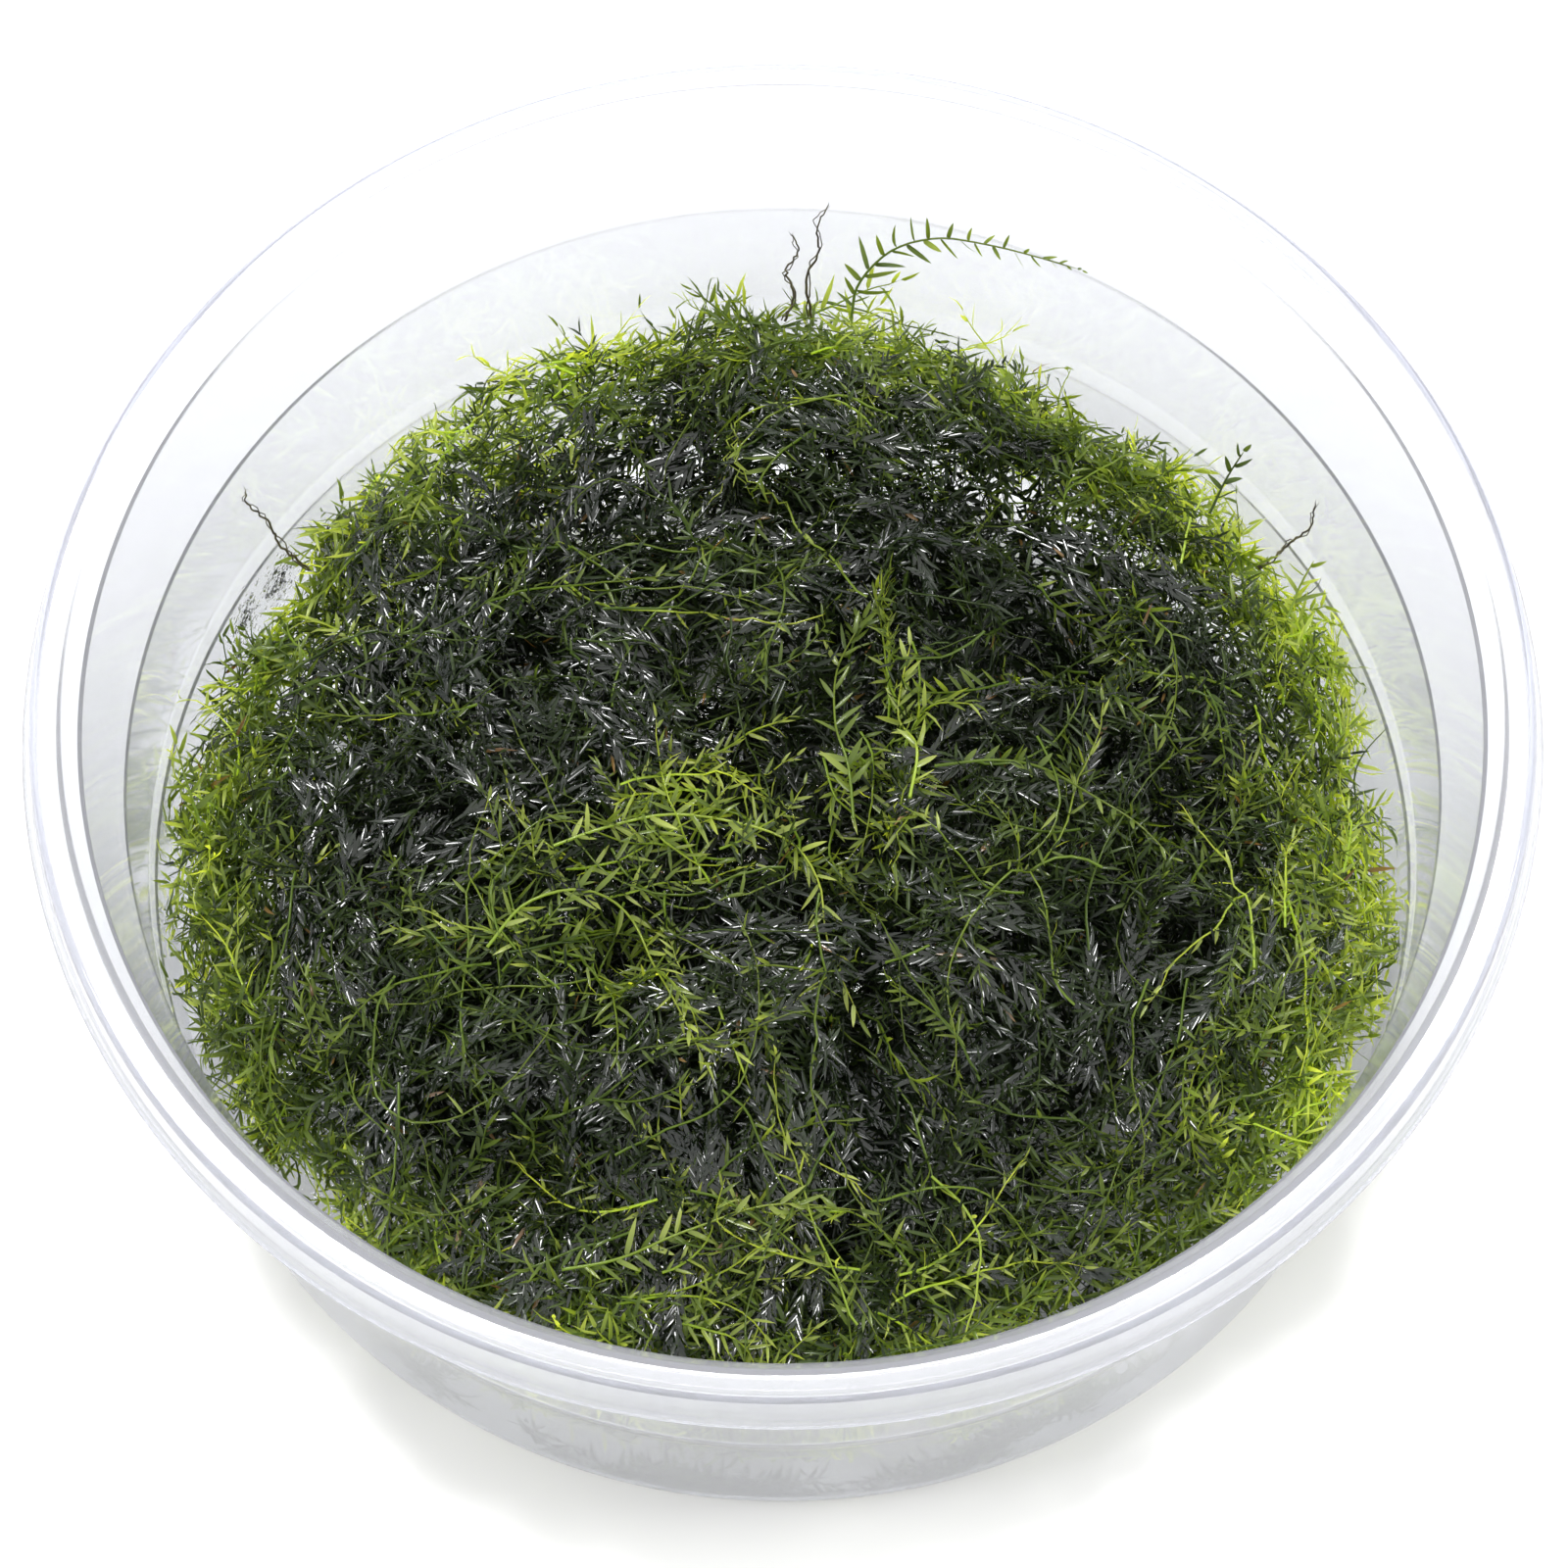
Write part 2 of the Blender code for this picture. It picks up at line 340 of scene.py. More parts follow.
@dataclass(frozen=True)
class PlasticFinish:
    """Clear, slightly milky moulded plastic with faint upright flow lines and a soft gloss.

    Its body takes up a little light, so the rim's edges look darker than the thin wall.
    """

    name: str = "cup_plastic"
    color: Color = (0.870, 0.875, 0.900)
    clearness: float = 0.80
    roughness: Pair = (0.05, 0.12)
    body: Color = (0.70, 0.72, 0.80)
    density: float = 420.0
    flow: float = 140.0
    flow_stretch: Place = (1.0, 1.0, 0.12)
    flow_detail: float = 3.0
    bump: float = 0.03
    bump_height: float = 0.10 * MM

    def material(self) -> Material:
        """Return the finish as a node material."""
        material, tree, shader = new_material(self.name)
        flow = noise(tree, self.flow, self.flow_stretch, self.flow_detail)
        haze = tree.nodes.new("ShaderNodeMapRange")
        haze.inputs["To Min"].default_value, haze.inputs["To Max"].default_value = self.roughness
        link(tree, flow, haze.inputs["Value"])
        link(tree, haze.outputs["Result"], shader.inputs["Roughness"])
        add_bump(tree, shader, flow, self.bump, self.bump_height)
        shader.inputs["Base Color"].default_value = (*self.color, 1.0)
        shader.inputs["Transmission Weight"].default_value = self.clearness
        shader.inputs["IOR"].default_value = PLASTIC_IOR
        depth = tree.nodes.new("ShaderNodeVolumeAbsorption")
        depth.inputs["Color"].default_value = (*self.body, 1.0)
        depth.inputs["Density"].default_value = self.density
        link(tree, depth.outputs["Volume"], tree.nodes["Material Output"].inputs["Volume"])
        return material


@dataclass(frozen=True)
class WaterFinish:
    """Clear water, its skin very slightly rippled."""

    name: str = "water"
    ripple: float = 1500.0
    bump: float = 0.05
    bump_height: float = 0.02 * MM

    def material(self) -> Material:
        """Return the finish as a node material."""
        material, tree, shader = new_material(self.name)
        add_bump(tree, shader, noise(tree, self.ripple), self.bump, self.bump_height)
        shader.inputs["Base Color"].default_value = (1.0, 1.0, 1.0, 1.0)
        shader.inputs["Roughness"].default_value = 0.0
        shader.inputs["Transmission Weight"].default_value = 1.0
        shader.inputs["IOR"].default_value = WATER_IOR
        return material


# ---------------------------------------------------------------- the cup

@dataclass(frozen=True)
class Corner:
    """One corner of a section: its place (r, z) and the radius of its rounding."""

    r: float
    z: float
    round: float = 0.0


@dataclass
class Cup:
    """The clear cup: floor, tapered wall with two stacking steps, flat rim and flared skirt.

    Radii are those of the side that faces the moss, and the wall lies behind it.
    """

    radius: float
    height: float
    wall: float = 0.7 * MM
    floor_radius: float = 49.3 * MM
    floor_corner: float = 2.8 * MM
    lower_step: Pair = (50.4 * MM, 18.0 * MM)
    upper_step: Pair = (51.4 * MM, 33.0 * MM)
    step_width: float = 0.45 * MM
    step_height: float = 1.9 * MM
    mouth: Pair = (53.8 * MM, 42.5 * MM)
    rim_inner_radius: float = 55.3 * MM
    rim_top_radius: float = 57.6 * MM
    skirt_height: float = 3.7 * MM
    flare: float = 0.5 * MM
    facets: int = 256
    arc_steps: int = 6
    hold: float = 0.12 * MM
    wave: float = 0.015 * MM
    waves: tuple[tuple[int, float], tuple[int, float]] = ((3, 0.4), (5, 1.3))
    stiff: float = 2.5 * MM

    def corners(self) -> tuple[Corner, ...]:
        """Return the section's corners, from the floor's centre to the skirt's foot."""
        half = self.step_height / 2
        (low_r, low_z), (high_r, high_z) = self.lower_step, self.upper_step
        foot = self.height - self.skirt_height
        return (
            Corner(0.0, self.wall),
            Corner(self.floor_radius, self.wall, self.floor_corner),
            Corner(low_r, low_z - half, 2.6 * MM),
            Corner(low_r + self.step_width, low_z + half, 2.0 * MM),
            Corner(high_r, high_z - half, 1.6 * MM),
            Corner(high_r + self.step_width, high_z + half, 1.2 * MM),
            Corner(*self.mouth, 0.9 * MM),
            Corner(self.rim_inner_radius, self.height, 1.0 * MM),
            Corner(self.rim_top_radius, self.height, 0.9 * MM),
            Corner(self.radius - self.flare, foot + self.flare, 0.8 * MM),
            Corner(self.radius, foot),
        )

    def inner_line(self) -> Array:
        """Return the section as points (r, z).

        Each rounded corner is an arc that touches both its straight runs: its centre lies on the bisector,
        at radius / sin(half angle), and the arc turns about it from one touching point to the other.
        """
        corners = self.corners()
        line: list[Array] = []
        for index, corner in enumerate(corners):
            here = np.array([corner.r, corner.z])
            if corner.round == 0.0:
                line.append(here[None])
                continue
            back = unit(np.array([corners[index - 1].r, corners[index - 1].z]) - here)
            ahead = unit(np.array([corners[index + 1].r, corners[index + 1].z]) - here)
            half = math.acos(float(np.clip(back @ ahead, -1.0, 1.0))) / 2
            centre = here + unit(back + ahead) * corner.round / math.sin(half)
            first = here + back * corner.round / math.tan(half) - centre
            last = here + ahead * corner.round / math.tan(half) - centre
            share = np.linspace(0.0, 1.0, self.arc_steps + 1)[:, None]
            line.append(centre + unit(first * (1 - share) + last * share) * corner.round)
        return self.held(np.concatenate(line))

    def held(self, line: Array) -> Array:
        """Return the line with a point just inside both ends of each long run.

        They keep the shading of a straight run from leaning towards the rounding beside it.
        """
        points = [line[0]]
        for here, there in zip(line[:-1], line[1:]):
            length = float(np.linalg.norm(there - here))
            if length > 4 * self.hold:
                ahead = (there - here) / length
                points += [here + ahead * self.hold, there - ahead * self.hold]
            points.append(there)
        return np.array(points)

    def inner_radius(self, z: Array) -> Array:
        """Return the radius of the wall's inner side at the heights z."""
        line = self.inner_line()
        rising = line[: int(np.argmax(line[:, 1])) + 1]
        return np.interp(z, rising[:, 1], rising[:, 0])

    def section(self) -> Array:
        """Return the whole shell's section: the inner line, then the line a wall's thickness behind it."""
        inner = self.inner_line()
        run = unit(np.diff(inner, axis=0))
        behind = np.column_stack([run[:, 1], -run[:, 0]])
        square = unit(np.vstack([behind[:1], behind[:-1] + behind[1:], behind[-1:]]))
        square[0] = (0.0, -1.0)
        spread = np.sum(square * np.vstack([behind[:1], behind]), axis=1, keepdims=True)
        outer = inner + square * self.wall / np.maximum(spread, 0.5)
        outer[0] = (0.0, 0.0)
        return np.vstack([inner, outer[::-1]])

    def build(self) -> Surface:
        """Turn the section round the axis, with a slight waviness of the thin wall.

        A point is (r cos a, r sin a, z), with r changed by wave sin(3a + 0.4) sin(5a + 1.3) in proportion
        to its height. The outer part of the rim is stiff and stays round.
        """
        section = self.section()
        around = np.linspace(0.0, TURN, self.facets, endpoint=False)
        (slow, early), (fast, late) = self.waves
        ripple = np.sin(slow * around + early) * np.sin(fast * around + late)
        ring = section[1:-1]
        lift = (ring[:, 1] / self.height) * (ring[:, 0] < self.radius - self.stiff)
        radius = ring[:, 0][:, None] + self.wave * lift[:, None] * ripple
        x, y = radius * np.cos(around), radius * np.sin(around)
        z = np.broadcast_to(ring[:, 1][:, None], x.shape)
        grid = np.stack([x, y, z], axis=-1)
        rows, columns = x.shape
        index = np.arange(rows * columns).reshape(rows, columns)
        beside = np.roll(index, -1, axis=1)
        body = band(index, beside)
        top, foot = np.full(columns, rows * columns), np.full(columns, rows * columns + 1)
        caps = np.concatenate([np.stack([top, index[0], beside[0]], -1),
                               np.stack([foot, beside[-1], index[-1]], -1)])
        poles = np.array([[0.0, 0.0, section[0, 1]], [0.0, 0.0, section[-1, 1]]])
        vertices = np.vstack([grid.reshape(-1, 3), poles])
        palette = np.column_stack([np.arctan2(vertices[:, 1], vertices[:, 0]) / TURN + 0.5,
                                   vertices[:, 2] / self.height])
        surface = Surface()
        surface.add(vertices, np.concatenate([body, caps]), palette)
        return surface


# ---------------------------------------------------------------- leaves and shoots

@dataclass(frozen=True)
class LeafForm:
    """The outline of one leaf, as rows of points from foot to tip.

    Attributes:
        rows: for each row between foot and tip, its place along the leaf and its share of the width.
        fold: how far the midrib sinks below the edges, as a share of the width.
    """

    rows: tuple[Pair, ...]
    fold: float = 0.22

    def template(self) -> tuple[Array, Array, Array, Array]:
        """Return the places along, across and up of each point, and the triangles between them.

        Each row holds a left edge, a midrib and a right edge point; the foot and the tip are single.
        """
        along, across, up = [0.0], [0.0], [0.0]
        for place, share in self.rows:
            along += [place] * 3
            across += [-share / 2, 0.0, share / 2]
            up += [self.fold * share, 0.0, self.fold * share]
        along.append(1.0)
        across.append(0.0)
        up.append(0.0)
        tip = len(along) - 1
        triangles = [(0, 1, 2), (0, 2, 3)]
        for row in range(len(self.rows) - 1):
            here, ahead = 1 + 3 * row, 4 + 3 * row
            for side in (0, 1):
                triangles += [(here + side, ahead + side + 1, here + side + 1),
                              (here + side, ahead + side, ahead + side + 1)]
        triangles += [(tip - 3, tip, tip - 2), (tip - 2, tip, tip - 1)]
        return np.array(along), np.array(across), np.array(up), np.array(triangles)


LANCE = LeafForm(rows=((0.18, 0.92), (0.62, 0.84)), fold=0.20)
BLADE = LeafForm(rows=((0.10, 0.84), (0.34, 1.0), (0.62, 0.88), (0.86, 0.46)), fold=0.16)
KITE = LeafForm(rows=((0.42, 1.0),), fold=0.20)


@dataclass(frozen=True)
class ShootStyle:
    """How the leaves stand on a kind of shoot. Lengths are in metres and angles in degrees.

    Attributes:
        leaf: the outline of its leaves.
        leaf_length: the length of a full-grown leaf.
        leaf_width: its width.
        spacing: the distance along the stem from one leaf to the next on the other side.
        spread: the angle between leaf and stem.
        spread_jitter: how much that angle varies.
        roll: how far a leaf's blade turns out of the plane of the two rows.
        lift: how far a leaf's tip rises out of that plane.
        bend: how far the blade curves, as a share of its length.
        stem_radius: the stem's radius at its foot.
        missing: the share of leaves that have fallen.
        taper: how small the leaves get towards the shoot's tip.
    """

    leaf: LeafForm = LANCE
    leaf_length: float = 2.7 * MM
    leaf_width: float = 0.50 * MM
    spacing: float = 0.52 * MM
    spread: float = 48.0
    spread_jitter: float = 12.0
    roll: float = 30.0
    lift: float = 14.0
    bend: float = 0.12
    stem_radius: float = 0.085 * MM
    missing: float = 0.14
    taper: float = 0.45


@dataclass
class Shoots:
    """A batch of shoots with the same number of path points.

    Attributes:
        path: points along each stem, (shoots, points, 3).
        facing: the direction square to the plane of each shoot's leaves, (shoots, points, 3).
        tone: each shoot's place in the palette, (shoots,).
        size: a factor on each shoot's leaves, (shoots,).
    """

    path: Array
    facing: Array
    tone: Array
    size: Array

    def frames(self) -> tuple[Array, Array, Array]:
        """Return unit vectors along each stem, sideways in the leaves' plane, and square to that plane."""
        along = unit(np.gradient(self.path, axis=1))
        facing = square_on(self.facing, along)
        return along, np.cross(facing, along), facing

    def lengths(self) -> Array:
        """Return each stem's length."""
        return np.linalg.norm(np.diff(self.path, axis=1), axis=-1).sum(axis=1)


def between(values: Array, place: Array) -> Array:
    """Return values (shoots, points, 3) read at fractional point numbers place (shoots, leaves)."""
    low = np.clip(np.floor(place).astype(int), 0, values.shape[1] - 2)
    share = (place - low)[..., None]
    rows = np.arange(values.shape[0])[:, None]
    return values[rows, low] * (1 - share) + values[rows, low + 1] * share


# A stem's end is this much thinner than its foot.
STEM_TAPER = 0.55
# How much the tone varies from leaf to leaf, and the range that living leaves keep to.
LEAF_TONE_SPREAD = 0.045
LIVING_TONES = (0.02, 0.89)
# The share of dead leaves, and their tones.
DEAD_SHARE = 0.0035
DEAD_TONES = (0.94, 0.99)


def add_stems(surface: Surface, shoots: Shoots, radius: float, sides: int = 3) -> None:
    """Carry a small ring along each path: point + radius (cos a side + sin a facing), thinning to the tip."""
    _, sideways, facing = shoots.frames()
    count, points = shoots.path.shape[:2]
    turn = np.linspace(0.0, TURN, sides, endpoint=False)
    share = np.linspace(0.0, 1.0, points)
    thick = radius * (1.0 - STEM_TAPER * share) * (1.0 - 0.9 * smoothstep(0.93, 1.0, share))
    ring = (np.cos(turn)[:, None] * sideways[:, :, None] + np.sin(turn)[:, None] * facing[:, :, None])
    vertices = shoots.path[:, :, None] + ring * thick[None, :, None, None]
    index = np.arange(count * points * sides).reshape(count, points, sides)
    beside = np.roll(index, -1, axis=2)
    a, b, c, d = index[:, :-1], beside[:, :-1], beside[:, 1:], index[:, 1:]
    triangles = np.concatenate([np.stack(corners, -1).reshape(-1, 3) for corners in ((a, b, c), (a, c, d))])
    u = shoots.tone[:, None, None] + 0.004 * np.cos(turn)
    v = 0.90 + 0.08 * share[None, :, None] + 0.006 * np.sin(turn)
    palette = np.stack(np.broadcast_arrays(u, v), axis=-1)
    surface.add(vertices, triangles, palette)


def add_leaves(surface: Surface, shoots: Shoots, style: ShootStyle, rng: np.random.Generator) -> None:
    """Set two rows of leaves along each stem.

    A leaf's point is foot + length (a d + bend a^2 n) + width (c w + f n), where a, c and f are the
    outline's places along, across and up, d is the leaf's direction, n its upper side and w = n x d.
    The direction is the stem's turned by the spread angle to one side, then lifted out of the plane.
    """
    along, sideways, facing = shoots.frames()
    count, points = shoots.path.shape[:2]
    each = max(4, int(round(float(np.mean(shoots.lengths())) / style.spacing)))
    share = np.linspace(0.05, 1.0, each) + rng.uniform(-0.3, 0.3, (count, each)) / each
    share = np.clip(share, 0.0, 1.0)
    place = share * (points - 1)
    foot, ahead = between(shoots.path, place), unit(between(along, place))
    side, up = unit(between(sideways, place)), unit(between(facing, place))
    hand = np.where(np.arange(each) % 2 == 0, 1.0, -1.0) * np.where(share > 0.995, 0.2, 1.0)

    closing = 1.0 - 0.55 * share ** 4
    spread = np.radians((style.spread + rng.normal(0, style.spread_jitter, (count, each))) * closing)
    lift = np.radians(rng.normal(style.lift * 0.5, style.lift, (count, each)))
    flat = ahead * np.cos(spread)[..., None] + side * (hand * np.sin(spread))[..., None]
    direction = unit(flat * np.cos(lift)[..., None] + up * np.sin(lift)[..., None])
    upper = square_on(up, direction)
    across = np.cross(upper, direction)
    roll = np.radians(rng.normal(0, style.roll, (count, each)))[..., None]
    rolled = upper * np.cos(roll) + across * np.sin(roll)
    upper, across = rolled, across * np.cos(roll) - upper * np.sin(roll)

    grown = (1.0 - style.taper * share ** 2) * (0.55 + 0.45 * smoothstep(0.0, 0.18, share))
    length = style.leaf_length * shoots.size[:, None] * grown * rng.uniform(0.75, 1.15, (count, each))
    width = style.leaf_width * shoots.size[:, None] ** 0.5 * grown ** 0.5
    width = width * rng.uniform(0.8, 1.15, (count, each))
    bend = style.bend * rng.normal(-0.4, 1.0, (count, each))

    kept = rng.uniform(size=(count, each)) > style.missing
    a, c, f, faces = style.leaf.template()
    foot, direction, upper, across = foot[kept], direction[kept], upper[kept], across[kept]
    length, width, bend = length[kept][:, None, None], width[kept][:, None, None], bend[kept][:, None, None]
    tone = np.broadcast_to(shoots.tone[:, None], kept.shape)[kept]
    blade = a[:, None] * direction[:, None] + bend * a[:, None] ** 2 * upper[:, None]
    section = c[:, None] * across[:, None] + f[:, None] * upper[:, None]
    vertices = foot[:, None] + length * blade + width * section
    first = np.arange(len(foot))[:, None, None] * len(a)
    tone = np.clip(tone + rng.normal(0, LEAF_TONE_SPREAD, tone.shape), *LIVING_TONES)
    dead = rng.uniform(size=tone.shape) < DEAD_SHARE
    tone = np.where(dead, rng.uniform(*DEAD_TONES, tone.shape), tone)
    u = tone[:, None] + 0.012 * c
    v = np.broadcast_to(0.02 + 0.76 * a, u.shape)
    surface.add(vertices, faces[None] + first, np.stack([u, v], axis=-1))


# ---------------------------------------------------------------- the space the moss fills

@dataclass
class Cushion:
    """The space that the moss fills in the cup, and how deep a point lies in it.

    Attributes:
        cup: the cup around it.
        radius: its radius at the waist.
        foot: the height of its underside.
        crown: the height of its top.
        waist: the height at which it is widest; the undercut is how far its side draws in below.
        edge: the height of its top at the side, with a rise at the back and a thin place at one bearing.
        hills_height: how far broad hills raise and sink the top; wads are narrower.
        hollow: how deep the pits in its top are.
        ragged: how far its side draws in at the notches.
        swells: where its side stands out or falls back: a bearing and a width in degrees, and how far in mm.
    """

    cup: Cup
    radius: float
    foot: float
    crown: float
    waist: float = 14.0 * MM
    undercut: float = 6.0 * MM
    edge: float = 17.0 * MM
    back_rise: float = 4.5 * MM
    thin_angle: float = math.radians(-52.0)
    thin_depth: float = 6.0 * MM
    swells: tuple[tuple[float, float, float], ...] = (
        (128.0, 11.0, 3.4), (60.0, 8.0, -1.8), (25.0, 6.0, 2.0), (151.0, 4.5, -3.0), (-30.0, 9.0, 2.4),
    )
    hills_height: float = 1.5 * MM
    wads_height: float = 1.3 * MM
    hollow: float = 3.8 * MM
    ragged: float = 2.6 * MM
    blend: float = 2.2 * MM
    margin: float = 0.35 * MM

    def __post_init__(self) -> None:
        """Make the noises that raise and sink the top."""
        self.hills = Lattice(11.0 * MM, 3)
        self.wads = Lattice(5.0 * MM, 8)
        self.pits = Lattice(6.5 * MM, 15)
        self.notches = Lattice(9.0 * MM, 27)

    def ring(self, p: Array) -> Array:
        """Return how far out points lie, as a share of the radius."""
        return np.hypot(p[..., 0], p[..., 1]) / self.radius

    def pit(self, x: Array, y: Array) -> Array:
        """Return 1 in a pit of the top, 0 away from pits and near the side."""
        ring = np.hypot(x, y) / self.radius
        return smoothstep(0.15, 0.70, self.pits(x, y)) * (1.0 - smoothstep(0.62, 0.88, ring))

    def swell(self, angle: Array) -> Array:
        """Return how far the side stands out at a bearing: a bell curve for each swell."""
        bearing, width, reach = (np.array(column) for column in zip(*self.swells))
        bells = np.exp(-((np.degrees(angle)[..., None] - bearing) / width) ** 2)
        return bells @ reach * MM

    def top(self, x: Array, y: Array) -> Array:
        """Return the top's height: an edge height and a dome between edge and crown, with hills and pits."""
        ring = np.hypot(x, y) / self.radius
        angle = np.arctan2(y, x)
        dome = np.clip(1.0 - ring ** 2, 0.0, 1.0) ** 0.8
        thin = np.exp(-((angle - self.thin_angle) / 0.35) ** 2)
        edge = self.edge + self.back_rise * np.maximum(np.sin(angle), 0.0) ** 2 - self.thin_depth * thin
        edge = edge + 0.5 * np.minimum(self.swell(angle), 0.0)
        relief = self.hills_height * self.hills(x, y) + self.wads_height * self.wads(x, y)
        relief = relief - self.hollow * self.pit(x, y)
        return edge * (1 - dome) + (self.crown - 1.0 * MM) * dome + relief

    def depth(self, p: Array, side_share: float = 1.0) -> Array:
        """Return how deep points lie below the top, inside the side and above the foot, the least of them.

        The three are blended with a soft minimum: -b log(sum exp(-d / b)). A side share below one makes
        the side count as nearer, which keeps a layer away from it.
        """
        x, y, z = p[..., 0], p[..., 1], p[..., 2]
        side = self.radius - self.undercut * np.clip((self.waist - z) / self.waist, 0.0, 1.0) ** 1.5
        side = side - self.ragged * smoothstep(-0.1, 0.7, self.notches(x, y)) + self.swell(np.arctan2(y, x))
        parts = np.stack([self.top(x, y) - z, (side - np.hypot(x, y)) * side_share, z - self.foot])
        least = parts.min(axis=0)
        return least - self.blend * np.log(np.exp(-(parts - least) / self.blend).sum(axis=0))

    def outward(self, p: Array, side_share: float = 1.0) -> Array:
        """Return the unit direction in which the depth falls fastest."""
        step = 0.2 * MM
        shift = np.eye(3) * step
        slope = [self.depth(p + way, side_share) - self.depth(p - way, side_share) for way in shift]
        return -unit(np.stack(slope, axis=-1))

    def settle(self, p: Array, depth: Array, side_share: float, rounds: int = 6) -> Array:
        """Move points along the outward direction until they lie at the given depth."""
        for _ in range(rounds):
            p = p + self.outward(p, side_share) * (self.depth(p, side_share) - depth)[..., None] * 0.8
        return p

    def held(self, p: Array, margin: float) -> Array:
        """Draw points that would pass through the cup's wall or floor back inside it."""
        z = np.clip(p[..., 2], self.cup.wall + margin, self.cup.height - margin)
        reach = np.hypot(p[..., 0], p[..., 1])
        limit = self.cup.inner_radius(z) - margin
        scale = np.where(reach > limit, limit / np.maximum(reach, 1e-9), 1.0)
        return np.stack([p[..., 0] * scale, p[..., 1] * scale, z], axis=-1)


@dataclass
class Growth:
    """How a batch of shoots grows in the cushion.

    Attributes:
        length: the shortest and longest stem.
        depth: the least and greatest depth at which a shoot starts.
        lift: how far its tip rises above that depth.
        stray: how far its heading varies from the local lie of the moss, in radians.
        curl: how fast its heading turns, in radians per millimetre.
        turned: how far its leaves' plane is rolled from the surface, in degrees.
        tone: the mean place in the palette, and how much it varies.
        sunlit: painted backlight: how much paler the tone is at the cushion's edge.
        points: the number of path points.
        rise: how much a shoot heads outwards, from 0 to 1.
        side_share: how near the cushion's side counts; below one the layer keeps away from it.
    """

    length: Pair
    depth: Pair
    lift: float
    stray: float
    curl: float
    turned: float
    tone: Pair
    sunlit: float = 0.24
    points: int = 11
    rise: float = 0.0
    side_share: float = 1.0


